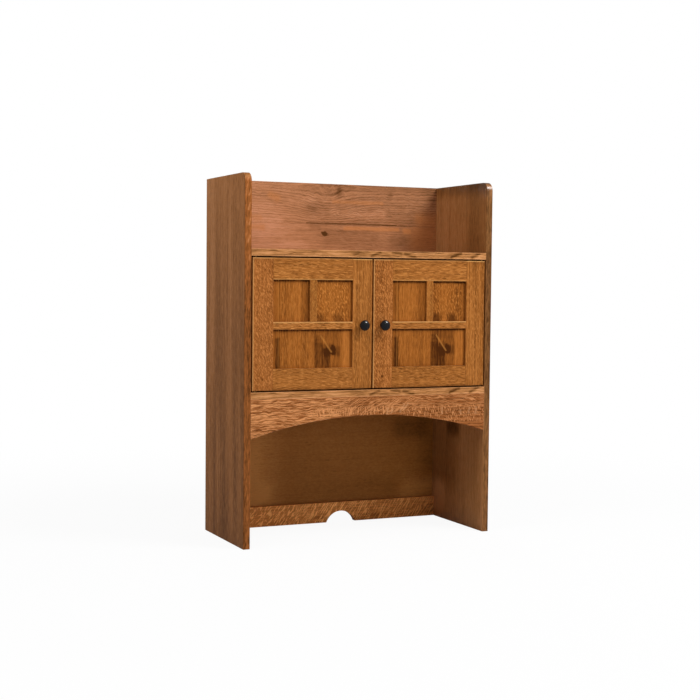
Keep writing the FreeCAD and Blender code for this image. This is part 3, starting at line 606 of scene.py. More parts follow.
def strongest(group, output, features, vector, seed=None):
    """The strongest of several flakes or patches at each spot; each flake has its own seed."""
    result = 0.0
    for number, (depth, shape) in enumerate(features):
        inputs = {"Vector": vector, **shape}
        if seed is not None:
            inputs["Seed"] = seed + number
        mask = use_group(vector.tree, group, inputs)[output]
        result = (mask * depth).calc("MAXIMUM", result)
    return result


print("features can be set")

# %% [markdown]
# ## One oak material per board
# All groups come together here. The tone starts with the end grain and collects staves, knots,
# patches and the front edge. Then the grain and the flakes join it in the stain, and the colour,
# roughness and height of the stain go to one Principled shader. Only polished spots get a coat.

# %% Oak material
DARK_SHARE, LIGHT_SHARE, CREAM_SHARE = (0.2, 0.16, 0.06), (1.7, 1.92, 2.6), (2.1, 3.3, 6.0)
JOINT_TONE, KNOT_HALO, FLAKE_SEED, FLAKE_FADE = -0.14, -0.15, 3.3, 3.0
EDGE_WIDTH = 0.0025
OAK_BUMP, OAK_RELIEF, POLISH_ROUGHNESS = 0.35, 0.0004, 0.26
# edge_depth is the strength of the painted highlight along a board's edges.
PLAIN_OAK = {
    "staves": 0.0, "shift": 0.0, "stave_depth": 0.1, "sway": 0.003, "ripple": 0.0, "spacing": 0.008,
    "lean": 0.4, "dash": (0.03, 0.0045), "rings": 0.0, "lines": 0.14, "dashes": 0.3, "streaks": 0.16,
    "fibre": 0.3, "flakes": (), "knots": (), "patches": (), "face": (0, -1, 0), "face_patches": (),
    "cream": (), "front": None, "front_stain": None, "front_patches": (), "polish": (),
    "edge_depth": 0.35, "shine": 0.09, "fleck": (1.65, 2.05, 2.6), "pale": CREAM_SHARE}


def close_material(tree, skin, bump, relief, shader_inputs):
    """Joins the colour, roughness and height of a finish to a Principled shader."""
    normal = flow(tree, "ShaderNodeBump", {"Strength": bump, "Distance": relief, "Height": skin["Height"]})
    shader = flow(tree, "ShaderNodeBsdfPrincipled", {
        "Base Color": skin["Colour"], "Roughness": skin["Roughness"], "Normal": normal, **shader_inputs})
    wire(tree, "ShaderNodeOutputMaterial", {"Surface": shader.socket})


def oak_material(name, box, grain, stain, seed, **own):
    """Oak for one board; grain names the axes along and across it, own differs from plain oak."""
    look = {**PLAIN_OAK, **own}
    material, tree = new_material(name)
    along, across = (AXES[letter] for letter in grain)
    turn = Matrix((along, across, along.cross(across)))
    vector, half = board_vector(tree, *box, turn)
    face, wide = face_masks(vector, half, turn @ Vector(look["face"]))
    place_in_log, fibres, tone = seed, vector, end_grain(tree, along)
    if look["staves"]:
        stave = use_group(tree, glued_staves, {"Vector": vector, "Width": look["staves"],
                                               "Shift": look["shift"], "Seed": seed})
        place_in_log = stave["Seed"]
        tone = tone + stave["Joint"] * JOINT_TONE + stave["Tone"] * look["stave_depth"]
    for depth, shape in look["knots"]:
        bend = use_group(tree, knot_pull, {"Vector": fibres, **shape})
        fibres = bend["Vector"]
        tone = tone + bend["Halo"] * (KNOT_HALO * depth) + bend["Core"] * -depth
    tone = add_patches(tone, vector, look["patches"])
    tone = add_patches(tone, vector, look["face_patches"], face)
    middle = tint(*stain)
    shown = middle
    if look["front"]:
        depth, front_tone, shape = look["front"]
        edge = use_group(tree, front_figure, {
            "Vector": vector, "Front": -half[1], "Seed": seed, **shape})
        tone = tone + (edge["Figure"] * depth + front_tone) * edge["Front"]
        tone = add_patches(tone, edge["Vector"], look["front_patches"], edge["Front"])
        if look["front_stain"]:
            shown = edge["Front"].mix(middle, tint(*look["front_stain"]))
    flakes = strongest(ray_flake, "Flake", look["flakes"], fibres, seed + FLAKE_SEED)
    growth = use_group(tree, growth_lines, {
        "Vector": fibres, "Seed": place_in_log, "Sway": look["sway"], "Ripple": look["ripple"],
        "Spacing": look["spacing"], "Lean": look["lean"], "Dash Length": look["dash"][0],
        "Dash Width": look["dash"][1]})
    # The painted highlight along the board's edges, mixed in by the stain.
    edges = use_group(tree, edge_highlights, {"Vector": vector, "Half": half, "Width": EDGE_WIDTH})
    finish = use_group(tree, oak_stain, {
        **growth, **edges, "Tone": tone, "Edge Depth": look["edge_depth"], "Middle": shown,
        **{mask + " Depth": look[mask.lower()] for mask in GRAIN_LEVELS},
        "Flake": flakes * (wide * (tone * FLAKE_FADE + 1.0).clamped()),
        "Cream": strongest(tone_patch, "Mask", look["cream"], vector) * face,
        "Dark": scaled(middle, DARK_SHARE), "Light": scaled(middle, LIGHT_SHARE),
        "Flake Colour": scaled(middle, look["fleck"]), "Cream Colour": scaled(middle, look["pale"])})
    close_material(tree, finish, OAK_BUMP, OAK_RELIEF, {
        "Specular IOR Level": look["shine"], "Coat Roughness": POLISH_ROUGHNESS,
        "Coat Weight": add_patches(0.0, vector, look["polish"])})
    return material


def dress(node_name, material):
    """Gives a piece of the frame its material."""
    board = boards[node_name]
    board.data.materials.clear()
    board.data.materials.append(material)


def dress_oak(node_name, **look):
    """Gives a board its own oak."""
    dress(node_name, oak_material("oak_" + node_name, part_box(node_name), **look))


print("oak is ready")

# %% [markdown]
# ## Sides and shelves
# The sides are quiet, glued up from staves, with a livelier front edge: short spots near the top
# and a darker stretch below. Both sides have painted light towards the top and painted shade towards
# the bottom. The inner face of the far side has painted light low in the bay and above the upper
# shelf at the back, and painted shade just below the arch. The shelves show long pointed lines on
# their front edges and, at the right, short dark slants, and a painted highlight along the lower
# edge of each front.

# %% Sides and shelves
SIDE, FAR_SIDE, SIDE_FRONT, SHELF = (168, 109, 60), (152, 101, 55), (170, 100, 47), (185, 125, 72)
SLANTS = [patch(x, y, length, 0.004, 0.004, depth, slant=slant, ragged=0.011)
          for x, y, length, slant, depth in (
              (-0.055, 0.001, 0.013, -0.4, -0.14), (0.009, 0.001, 0.018, -0.4, -0.26),
              (0.078, 0.004, 0.017, 0.05, -0.34), (0.122, 0.0, 0.021, 0.28, -0.34),
              (0.281, 0.001, 0.021, -0.45, -0.42), (0.348, 0.001, 0.018, -0.5, -0.44))]
# A painted highlight along the lower edge of a shelf's front.
LOWER_LIP_HIGHLIGHT = patch(0.0, -0.0084, FAR, 0.001, 0.0008, 0.34, ragged=0.001)
SPOTS = [patch(x, y, 0.011, 0.0026, 0.0026, depth, slant=0.25, ragged=0.008) for x, y, depth in (
    (0.487, -0.004, 0.26), (0.462, 0.005, -0.2), (0.446, -0.003, 0.3), (0.424, 0.003, -0.16),
    (0.402, -0.005, 0.28), (0.378, 0.005, -0.18), (0.352, -0.002, 0.24), (0.33, 0.004, -0.14),
    (0.3, -0.004, 0.16))]
# The sides get painted light towards the top and painted shade towards the bottom.
SIDE_BOARD = dict(
    grain="zy", staves=0.115, edge_depth=0.06, face=(-1, 0, 0),
    patches=(patch(0.56, 0.0, 0.34, FAR, 0.3, 0.05), patch(-0.56, 0.0, 0.46, FAR, 0.42, -0.14)))
SHELF_BOARD = dict(grain="xy", stain=SHELF, seed=3.0, sway=0.012, lean=1.0, rings=0.2, spacing=0.011,
                   staves=0.11, dashes=0.22)

dress_oak(
    "left_side", **SIDE_BOARD, stain=SIDE, seed=1.0, shift=0.02, dashes=0.2, lines=0.15, streaks=0.22,
    dash=(0.024, 0.003), stave_depth=0.05, shine=0.1,
    face_patches=(patch(0.0, -0.16, FAR, 0.014, 0.012, -0.09, ragged=0.006),),
    front=front_edge(0.018, 0.0046, 0.12, 0.006, 0.1, -0.06), front_stain=SIDE_FRONT,
    front_patches=(*SPOTS, patch(-0.35, 0.0, 0.26, FAR, 0.1, -0.01),
                   patch(0.11, 0.0, 0.2, FAR, 0.06, -0.12)))
dress_oak(
    "right_side", **SIDE_BOARD, stain=FAR_SIDE, seed=2.0, shift=0.044, dashes=0.18, lines=0.12,
    dash=(0.03, 0.003), stave_depth=0.09, shine=0.16,
    # On the inner face: painted light low in the bay and above the upper shelf, painted shade below the arch.
    face_patches=(
        patch(-0.33, -0.11, 0.24, 0.09, 0.06, 0.35), patch(-0.5, 0.08, 0.06, 0.1, 0.05, 0.32),
        patch(0.42, -0.1, 0.12, 0.05, 0.03, -0.05), patch(0.37, 0.06, 0.05, 0.1, 0.05, 0.07),
        patch(0.555, 0.0, 0.042, FAR, 0.022, -0.32), patch(-0.468, 0.115, 0.045, 0.035, 0.025, 0.5),
        patch(-0.235, 0.02, 0.025, 0.04, 0.02, -0.34)),
    front=front_edge(0.022, 0.0046, 0.12, 0.006, 0.1, -0.14),
    front_patches=(patch(0.19, 0.0, 0.31, FAR, 0.05, -0.13), patch(0.54, 0.0, 0.016, FAR, 0.008, -0.1)),
    polish=(patch(0.525, -0.155, 0.03, 0.03, 0.008, 0.9),))
dress_oak("upper_shelf", **SHELF_BOARD, front=front_edge(0.085, 0.0028, 0.03, 0.003, 0.2, 0.02),
          front_patches=(*SLANTS, LOWER_LIP_HIGHLIGHT))
dress_oak("lower_shelf", **SHELF_BOARD, front=front_edge(0.085, 0.0028, 0.03, 0.003, 0.2, 0.05),
          front_patches=(*SLANTS[1:], LOWER_LIP_HIGHLIGHT))
dress_oak("adjustable_shelf", grain="xy", stain=SHELF, seed=5.0, staves=0.09)
print("dressed two sides and three shelves")

# %% [markdown]
# ## Valance, backs and rail
# The valance has the strongest flake, upright in the middle and leaning at the right, and the rail
# behind the bay a slanted one. On the two upper planks the grain bends round a knot, pale bands run
# along it, and dark lines mark the joint between them. Near their right end, painted shade and
# painted light stand for the shadow of the right side. The plywood back is plain and dark; in the bay
# it has painted light at the left and low at both ends, and painted shade under the arch and in the
# right corner.

# %% Valance, backs and rail
VALANCE, RAIL, UPPER, PLYWOOD = (154, 91, 45), (192, 120, 59), (181, 124, 85), (145, 91, 38)
VALANCE_FLAKE, RAIL_FLAKE, WARM = (2.2, 2.88, 4.2), (2.2, 2.9, 3.9), (1.2, 1.04, 0.72)
FLECKS = [patch(x, y, 0.0026, tall, 0.002, 0.4, slant=slant, ragged=0.009) for x, y, tall, slant in (
    (0.052, 0.011, 0.01, 0.1), (0.067, 0.012, 0.011, 0.2), (0.101, 0.019, 0.015, 0.6),
    (0.114, 0.023, 0.013, 0.7), (0.238, 0.006, 0.01, 0.0), (0.303, 0.001, 0.009, 0.0),
    (0.334, 0.006, 0.011, 0.1), (0.357, 0.005, 0.011, 0.1))]
# Paler left end, darker right half: partly the planks' own tone, partly painted light and shade.
BACK_TONES_AND_SHADE = (patch(-0.3, 0.0, 0.16, FAR, 0.12, 0.09, ragged=0.05),
              patch(0.2, 0.0, 0.3, FAR, 0.18, -0.19, ragged=0.05))
PLANK = dict(grain="xz", stain=UPPER, dash=(0.03, 0.002), dashes=0.12, lines=0.1, edge_depth=0.0,
             pale=WARM)
PLY = dict(grain="xz", stain=PLYWOOD)


def plank_joint(y):
    """The dark line along one edge of an upper plank."""
    return patch(0.08, y, 0.16, 0.0016, 0.0012, -0.3, ragged=0.003)


dress_oak(
    "valance", grain="xz", stain=VALANCE, seed=6.0, sway=0.008, ripple=0.01, rings=0.3, spacing=0.01,
    dashes=0.22, dash=(0.016, 0.0022), edge_depth=0.12, cream=FLECKS, fleck=VALANCE_FLAKE,
    patches=(patch(0.3, 0.0, 0.16, FAR, 0.12, -0.03),
             patch(0.1, 0.02, 0.22, 0.03, 0.03, -0.04, ragged=0.02)),
    flakes=(flake(0.0, 0.034, 0.0018, 0.51, 0.004, 1.0, (-0.26, 0.0), (0.19, 0.1)),
            flake(1.5, 0.013, 0.0026, 0.48, 0.001, 1.0, (-0.06, 0.014), (0.14, 0.014)),
            flake(1.25, 0.014, 0.0027, 0.46, 0.003, 0.9, (0.25, -0.002), (0.15, 0.028)),
            flake(-0.5, 0.026, 0.002, 0.47, 0.004, 0.8, (0.02, 0.03), (0.14, 0.024)),
            flake(0.1, 0.034, 0.0019, 0.48, 0.005, 0.8, (0.22, 0.036), (0.2, 0.022))))
dress_oak(
    "back_rail", grain="xz", stain=RAIL, seed=7.0, dashes=0.2, fleck=RAIL_FLAKE,
    patches=(patch(0.25, 0.0, 0.15, FAR, 0.1, -0.12),),
    flakes=(flake(-1.0, 0.026, 0.0026, 0.5, 0.003, 0.8, (0.2, 0.0), (0.3, FAR)),
            flake(-0.9, 0.02, 0.0044, 0.48, 0.004, 0.7, (-0.25, 0.0), (0.2, FAR))))
dress_oak(
    "upper_back_top_plank", **PLANK, seed=8.0, sway=0.005, ripple=0.006, rings=0.17, spacing=0.0085,
    knots=(knot(-0.012, 0.05, 0.075, 1.3, 0.8, 0.001, 0.0),),
    flakes=(flake(0.05, 0.034, 0.0021, 0.46, 0.009, 0.3, (0.15, -0.01), (0.26, 0.055)),),
    cream=(patch(-0.19, 0.02, 0.022, 0.01, 0.008, 0.5, slant=0.4, ragged=0.012),
           patch(0.1, 0.008, 0.09, 0.005, 0.004, 0.45, ragged=0.008),
           patch(-0.3, -0.05, 0.07, 0.008, 0.006, 0.35, ragged=0.01),
           # Painted light at the right end, below the right side's shadow.
           patch(0.36, -0.045, 0.05, 0.022, 0.02, 0.6, ragged=0.01)),
    patches=(*BACK_TONES_AND_SHADE, plank_joint(-0.0612),
             patch(0.032, 0.04, 0.011, 0.016, 0.011, -0.2, slant=0.3, ragged=0.018),
             patch(-0.064, -0.014, 0.016, 0.013, 0.012, -0.12, ragged=0.02),
             patch(0.215, 0.036, 0.01, 0.012, 0.009, -0.12, ragged=0.02),
             patch(0.1, -0.026, 0.1, 0.013, 0.013, 0.15, ragged=0.02),
             patch(-0.23, 0.04, 0.06, 0.024, 0.02, -0.08, ragged=0.02),
             patch(-0.1, 0.004, 0.04, 0.012, 0.012, 0.12, ragged=0.02),
             patch(-0.22, -0.058, 0.06, 0.01, 0.01, 0.14, ragged=0.01),
             # Painted shade: the right side's shadow at the top right corner and near its edge.
             patch(0.375, 0.05, 0.035, 0.024, 0.02, -0.12, ragged=0.01),
             patch(0.28, -0.055, 0.05, 0.022, 0.03, -0.06, ragged=0.01)))
dress_oak(
    "upper_back_lower_plank", **PLANK, seed=9.0, sway=0.004,
    knots=(knot(-0.017, 0.012, 0.018, 1.5, 0.7, 0.0078, 0.5),),
    flakes=(flake(0.5, 0.02, 0.0022, 0.43, 0.006, 0.26, (0.17, -0.01), (0.16, 0.05)),),
    cream=(patch(0.15, 0.031, 0.1, 0.006, 0.004, 0.6, ragged=0.006),
           patch(-0.31, 0.028, 0.09, 0.01, 0.006, 0.5, ragged=0.008),
           patch(0.278, 0.026, 0.016, 0.009, 0.006, 0.7, ragged=0.01),
           # Painted light at the right end, beside the right side's shadow.
           patch(0.36, 0.0, 0.07, 0.05, 0.03, 0.6, ragged=0.01)),
    patches=(*BACK_TONES_AND_SHADE, plank_joint(0.0437),
             patch(0.073, -0.003, 0.1, 0.026, 0.024, -0.06, ragged=0.04),
             patch(-0.12, -0.026, 0.05, 0.012, 0.012, 0.1, ragged=0.01),
             patch(-0.22, 0.034, 0.15, 0.01, 0.007, 0.14, ragged=0.004),
             patch(0.09, 0.034, 0.12, 0.007, 0.005, 0.1, ragged=0.006),
             # Painted shade near the edge of the right side's shadow.
             patch(0.29, -0.002, 0.06, 0.034, 0.03, -0.09, ragged=0.01)))
dress_oak(
    "back_panel", **PLY, seed=10.0, dashes=0.1, lines=0.03, streaks=0.06, fibre=0.2, dash=(0.008, 0.006),
    face_patches=(
        # In the bay: painted light at the left and low at both ends, painted shade under the arch and in the
        # right corner.
        patch(-0.28, -0.24, 0.085, 0.19, 0.075, 0.46, ragged=0.03),
        patch(-0.36, -0.24, 0.1, 0.19, 0.06, 0.34, ragged=0.03),
        patch(0.34, -0.37, 0.07, 0.035, 0.03, 0.36), patch(0.3, -0.165, 0.06, 0.03, 0.025, -0.22),
        patch(-0.25, -0.355, 0.06, 0.03, 0.025, 0.25), patch(0.372, -0.22, 0.03, 0.11, 0.03, -0.1)))
dress_oak("valance_glue_blocks", **PLY, seed=11.0)
dress_oak("rail_dowels", **PLY, seed=12.0)
print("dressed the valance, the rail and the backs")

# %% [markdown]
# ## The doors
# Each door has a flaky stile at its left and a straight-grained one at its right. The panel is glued
# from three strips. The right strip holds dark heartwood that ends in a knot, with a pale streak
# running down to it. Painted shade lies in the recesses along the frame, darkest under the rails, and
# at the top and bottom of the frame. Painted highlights run along the left edge and top of each door,
# along both edges of its top rail and along the top of the mid rail. The right door is darkened with
# painted shade, as the lamp at the right lights it more.

# %% Door panel
PANEL, ORANGE, STREAK_SHARE = (160, 93, 33), (1.72, 2.0, 2.75), (1.7, 2.15, 2.9)
LEFT_JOINT = -0.1037
WEDGE = [patch(-0.086 - step, 0.021, 0.053 - length, 0.013, 0.0024, -0.11, ragged=0.003)
         for step, length in ((0.0, 0.0), (0.006, 0.005), (0.012, 0.01))]
HEARTWOOD = (
    *WEDGE,
    patch(-0.106, 0.045, 0.034, 0.0125, 0.005, -0.31, ragged=0.005),
    patch(-0.078, 0.043, 0.02, 0.01, 0.006, -0.18, slant=0.3, ragged=0.006),
    patch(-0.075, 0.105, 0.055, 0.013, 0.004, 0.26, ragged=0.003),
    patch(-0.03, 0.045, 0.016, 0.035, 0.008, -0.1, ragged=0.004),
    patch(-0.074, 0.059, 0.018, 0.014, 0.008, -0.16, slant=0.3, ragged=0.008),
    patch(-0.08, 0.078, 0.014, 0.012, 0.007, -0.16, ragged=0.006),
    patch(0.016, 0.027, 0.013, 0.014, 0.008, -0.24, ragged=0.008),
    patch(0.016, 0.079, 0.014, 0.013, 0.008, -0.22, ragged=0.008),
    patch(0.012, 0.055, 0.016, 0.007, 0.004, 0.08, ragged=0.003),
    patch(-0.075, -0.06, 0.055, 0.065, 0.01, -0.04),
    patch(-0.085, LEFT_JOINT - 0.007, 0.045, 0.0072, 0.004, -0.3, ragged=0.004))
PALE_STREAK = (patch(-0.059, 0.044, 0.031, 0.0022, 0.0022, 0.5, slant=0.62, ragged=0.002),
               patch(0.0, LEFT_JOINT - 0.0035, 0.15, 0.0016, 0.0012, 0.26, ragged=0.002))
# A darker left strip, its joint line, and a darker band left of the muntin in the upper panes.
STRIPS = (patch(0.0, LEFT_JOINT - 0.012, 0.2, 0.012, 0.0012, -0.1),
          patch(0.0, LEFT_JOINT, 0.2, 0.001, 0.0008, -0.14),
          patch(0.06, -0.0245, 0.078, 0.0115, 0.005, -0.15, ragged=0.003))
# Painted shade in the recesses along the frame round the panes, darkest under the rails.
RECESS_SHADE = (patch(0.1275, 0.0, 0.0036, 0.13, 0.002, -0.42, ragged=0.002),
         patch(-0.0172, 0.0, 0.0036, 0.13, 0.002, -0.42, ragged=0.002),
         patch(0.0, 0.1257, 0.14, 0.0024, 0.0016, -0.1, ragged=0.002),
         patch(0.07, -0.0125, 0.07, 0.0024, 0.0016, -0.08, ragged=0.002),
         patch(0.0, -0.1257, 0.14, 0.0016, 0.0012, -0.2, ragged=0.002))
DOOR_PANEL = dict(
    grain="zx", stain=PANEL, dash=(0.022, 0.0018), dashes=0.22, lines=0.15, streaks=0.24, fleck=ORANGE,
    flakes=(flake(0.2, 0.011, 0.0026, 0.46, 0.001, 0.9, (0.06, 0.06), (0.08, 0.06)),
            flake(0.02, 0.018, 0.0016, 0.43, 0.001, 0.6, (0.0, -0.05), (FAR, 0.06))),
    knots=(knot(-0.078, 0.0645, 0.022, 1.4, 0.7, 0.0105, 0.44),),
    face_patches=HEARTWOOD + RECESS_SHADE, cream=PALE_STREAK, pale=STREAK_SHARE)
print("a panel with", len(HEARTWOOD), "patches of heartwood")

# %% Door boards
FRAME, FLAKY, BAR = (155, 93, 37), (151, 88, 36), (163, 99, 42)
FRAME_HALF, BAR_HALF = 0.03175, 0.011


def painted_edge_highlight(half, side, depth):
    """A painted highlight, a pale strip along one long edge of a board."""
    return patch(0.0, side * (half - 0.0018), FAR, 0.0016, 0.0008, depth, ragged=0.0008)


# A painted highlight along the top end of each stile.
STILE_TOP_HIGHLIGHT = patch(0.1909, 0.0, 0.0016, FAR, 0.0008, 0.6, ragged=0.0008)
RAIL_ENDS = tuple(patch(end * 0.1264, 0.0, 0.0008, FAR, 0.0006, -0.2) for end in (-1, 1))
STILE = dict(
    grain="zx", edge_depth=0.05, fleck=ORANGE,
    # Painted shade at the top and bottom ends of each stile.
    face_patches=(patch(0.196, 0.0, 0.012, FAR, 0.022, -0.17), patch(-0.196, 0.0, 0.006, FAR, 0.014, -0.17)))
CROSS_BOARD = dict(grain="xz", fleck=ORANGE, flakes=(flake(0.04, 0.018, 0.0016, 0.46, 0.002, 1.0),))
DOOR_RAIL = dict(CROSS_BOARD, stain=FRAME, dash=(0.018, 0.0015), dashes=0.4, sway=0.006, ripple=0.003,
                 edge_depth=0.05)


def dress_door(door, seed, flaky, straight, top, middle, bottom, panel):
    """Dresses one door; flaky and straight name its left and right stiles, the last four are the tones of its
    top rail, mid rail, bottom rail and panel, which on the right door are painted shade.
    """
    looks = {
        flaky: dict(
            STILE, stain=FLAKY, dash=(0.01, 0.002), dashes=0.38,
            flakes=(flake(0.36, 0.008, 0.0022, 0.47, 0.001, 1.0),),
            knots=(knot(-0.1585, 0.0, 0.006, 1.4, 0.5, 0.0028, 0.34),),
            # Painted highlights along the door's left edge and the stile's top end.
            cream=(painted_edge_highlight(FRAME_HALF, -1, 0.75), STILE_TOP_HIGHLIGHT)),
        straight: dict(
            STILE, stain=FRAME, dash=(0.05, 0.002), dashes=0.26, lines=0.26, streaks=0.08,
            flakes=(flake(0.02, 0.014, 0.0017, 0.45, 0.001, 0.8),), cream=(STILE_TOP_HIGHLIGHT,),
            patches=(patch(0.0, 0.024, FAR, 0.006, 0.005, -0.05, ragged=0.002),)),
        "top_rail": dict(
            DOOR_RAIL, patches=(*RAIL_ENDS, overall(top)),
            # Painted shade below the door's top edge, and painted highlights along both long edges.
            face_patches=(patch(0.0, 0.034, FAR, 0.01, 0.02, -0.17),),
            cream=(painted_edge_highlight(FRAME_HALF, 1, 0.2), painted_edge_highlight(FRAME_HALF, -1, 0.35))),
        "bottom_rail": dict(
            DOOR_RAIL, patches=(*RAIL_ENDS, overall(bottom)),
            # Painted shade along the bottom rail's lower edge.
            face_patches=(patch(0.0, -0.03, FAR, 0.004, 0.006, -0.2),)),
        "mid_rail": dict(
            CROSS_BOARD, stain=BAR, dash=(0.014, 0.0022), dashes=0.46,
            # A painted highlight along the mid rail's top edge.
            patches=(*RAIL_ENDS, overall(middle)), cream=(painted_edge_highlight(BAR_HALF, 1, 0.6),)),
        "muntin": dict(
            grain="zx", stain=FRAME, dash=(0.01, 0.0022), edge_depth=0.1,
            flakes=(flake(0.36, 0.006, 0.0024, 0.45, 0.001, 0.5),)),
        "door_panel": dict(DOOR_PANEL, patches=(*STRIPS, overall(panel))),
    }
    for number, (part, look) in enumerate(looks.items()):
        dress_oak(f"{door}_{part}", seed=seed + number, **look)
    print("dressed the", door, "door")


dress_door("left", 20.0, "hinge_stile", "meeting_stile", 0.01, 0.0, 0.0, 0.0)
# The right door, which the lamp at the right lights more, is darkened with painted shade over its rails and
# panel.
dress_door("right", 40.0, "meeting_stile", "hinge_stile", -0.03, -0.17, -0.07, -0.1)

# %% [markdown]
# ## Metal and plastic
# The knobs are iron under black gloss enamel. The concealed hinges, their screws and the shelf pins
# are brass, dulled in patches where they tarnish. The other screws and the hinge pins are zinc plated,
# and the catch is moulded plastic with ferrite magnets. One group gives all of them a cloudy surface
# with fine scratches, and each material sets its own colours on it.

# %% Group for hard surfaces
SCRATCH_STRETCH, DULL_LEVELS = (0.06, 1.0, 1.0), (0.38, 0.7)
CLOUD_ROUGHNESS, SCRATCH_ROUGHNESS = 0.6, 0.4


def make_hard_skin():
    """Two colours in soft clouds, fine scratches along one direction, and the roughness they give."""
    given = new_group("hard_skin", vectors="Vector", values="Clouds, Scratches, Smooth, Rough",
                      colours="Clean, Dull")
    dull = (given["Vector"] * given["Clouds"]).cloud(detail=3.0).rise(*DULL_LEVELS)
    scratches = (given["Vector"] * given["Scratches"] * SCRATCH_STRETCH).cloud()
    amount = dull * CLOUD_ROUGHNESS + scratches * SCRATCH_ROUGHNESS
    return close_group(Colour=dull.mix(given["Clean"], given["Dull"]), Height=scratches,
                       Roughness=amount * (given["Rough"] - given["Smooth"]) + given["Smooth"])


hard_skin = make_hard_skin()

# %% Hard materials
HARD_RELIEF, COAT_ROUGHNESS = 0.0002, 0.14


def hard_material(name, clean, dull, roughness, metallic, bump, clouds=90.0, scratches=900.0, coat=0.0,
                  shine=0.5):
    """A hard surface; clean and dull are screen colours, roughness goes from smooth to rough."""
    material, tree = new_material(name)
    skin = use_group(tree, hard_skin, {
        "Vector": flow(tree, "ShaderNodeTexCoord", output="Object"), "Clean": tint(*clean),
        "Dull": tint(*dull), "Smooth": roughness[0], "Rough": roughness[1], "Clouds": clouds,
        "Scratches": scratches})
    close_material(tree, skin, bump, HARD_RELIEF, {
        "Metallic": metallic, "Coat Weight": coat, "Coat Roughness": COAT_ROUGHNESS,
        "Specular IOR Level": shine})
    return material


enamel = hard_material("black_enamel", (7, 11, 17), (5, 7, 10), (0.4, 0.5), 0.0, 0.1, 220.0, 700.0,
                       coat=1.0, shine=0.16)
brass = hard_material("aged_brass", (168, 132, 76), (98, 72, 42), (0.28, 0.52), 1.0, 0.2)
zinc = hard_material("zinc_plate", (196, 198, 200), (150, 150, 146), (0.28, 0.46), 1.0, 0.2, 240.0)
plated = hard_material("plated_strike", (186, 186, 184), (142, 140, 136), (0.3, 0.52), 1.0, 0.25, 140.0,
                       1500.0)
moulded = hard_material("moulded_catch", (86, 58, 40), (74, 49, 33), (0.42, 0.58), 0.0, 0.3, 500.0, 3000.0)
ferrite = hard_material("ground_magnet", (64, 64, 67), (44, 44, 47), (0.4, 0.62), 0.0, 0.4, 700.0, 1800.0)

HANDS = ("left", "right")
SINGLE_PIECES = {
    brass: ("shelf_pins", "frame_hinge_screws"), zinc: ("panel_screws", "plank_screws", "catch_screws"),
    moulded: ("catch_housing",), ferrite: ("catch_magnets",)}
PAIRED_PIECES = {
    brass: ("frame_hinge_leaves", "door_hinge_leaves", "hinge_washers", "door_hinge_screws"),
    zinc: ("knob_screw", "hinge_pins", "strike_screw"), plated: ("strike_plate",), enamel: ("knob",)}
for material, names in SINGLE_PIECES.items():
    for name in names:
        dress(name, material)
for material, names in PAIRED_PIECES.items():
    for name in names:
        for hand in HANDS:
            dress(f"{hand}_{name}", material)
print("hard surfaces:", ", ".join(material.name for material in {**SINGLE_PIECES, **PAIRED_PIECES}))

# %% [markdown]
# ## Knobs
# A cast knob has a beaded foot, a waisted neck and a mushroom head with a round crown. It could be
# spun from a profile curve. Here a disc is extruded again and again away from the door and resized
# at each step, as on a lathe, because every ring is then in the place that its line of numbers says.

# %% Turn the knobs
KNOB_SEGMENTS = 72
MILLIMETRE = 0.001
SMOOTH_ANGLE = math.radians(38)
# Each ring of a knob: its radius and its distance from the door's face, in millimetres.
KNOB_RINGS = (
    (9.5, 0.0), (9.5, 1.5), (9.25, 2.3), (8.6, 2.9), (7.9, 3.1), (7.5, 3.5), (7.1, 4.6), (6.75, 6.0),
    (6.5, 7.6), (6.5, 8.9), (6.75, 9.8), (7.6, 10.5), (9.4, 11.2), (11.5, 12.0), (13.3, 13.1),
    (14.7, 14.3), (15.6, 15.6), (16.0, 17.0), (15.9, 18.2), (15.4, 19.7), (14.5, 21.3), (13.1, 22.9),
    (11.1, 24.5), (8.6, 25.8), (5.8, 26.55), (3.0, 26.92), (1.0, 27.0))


def turn_up(name, start, direction, rings, unit, segments):
    """A turned piece: a disc at start, extruded along direction and resized ring by ring."""
    start, direction = Vector(start), Vector(direction)
    rings = [(radius * unit, level * unit) for radius, level in rings]
    bpy.ops.object.select_all(action="DESELECT")
    bpy.ops.mesh.primitive_circle_add(vertices=segments, radius=rings[0][0], fill_type="NGON", location=start,
                                      rotation=direction.to_track_quat("Z", "Y").to_euler())
    piece = bpy.context.object
    piece.name = piece.data.name = name
    bpy.ops.object.transform_apply(location=True, rotation=True, scale=True)
    bpy.ops.object.mode_set(mode="EDIT")
    for (radius, level), (next_radius, next_level) in zip(rings, rings[1:]):
        bpy.ops.mesh.extrude_region_move(TRANSFORM_OT_translate={"value": direction * (next_level - level)})
        share = next_radius / radius
        bpy.ops.transform.resize(value=(share, share, share), center_override=start + direction * next_level)
    bpy.ops.mesh.select_all(action="SELECT")
    bpy.ops.mesh.normals_make_consistent(inside=False)
    bpy.ops.object.mode_set(mode="OBJECT")
    return piece


def pick(piece):
    """Selects one object alone and makes it active."""
    bpy.ops.object.select_all(action="DESELECT")
    piece.select_set(True)
    bpy.context.view_layer.objects.active = piece


def finish_piece(piece, material, body, slot, *nodes):
    """Smooths a new piece, dresses it and lets it stand for the frame's own pieces."""
    pick(piece)
    bpy.ops.object.shade_smooth_by_angle(angle=SMOOTH_ANGLE)
    piece.data.materials.clear()
    piece.data.materials.append(material)
    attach(piece, body)
    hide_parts(*nodes)


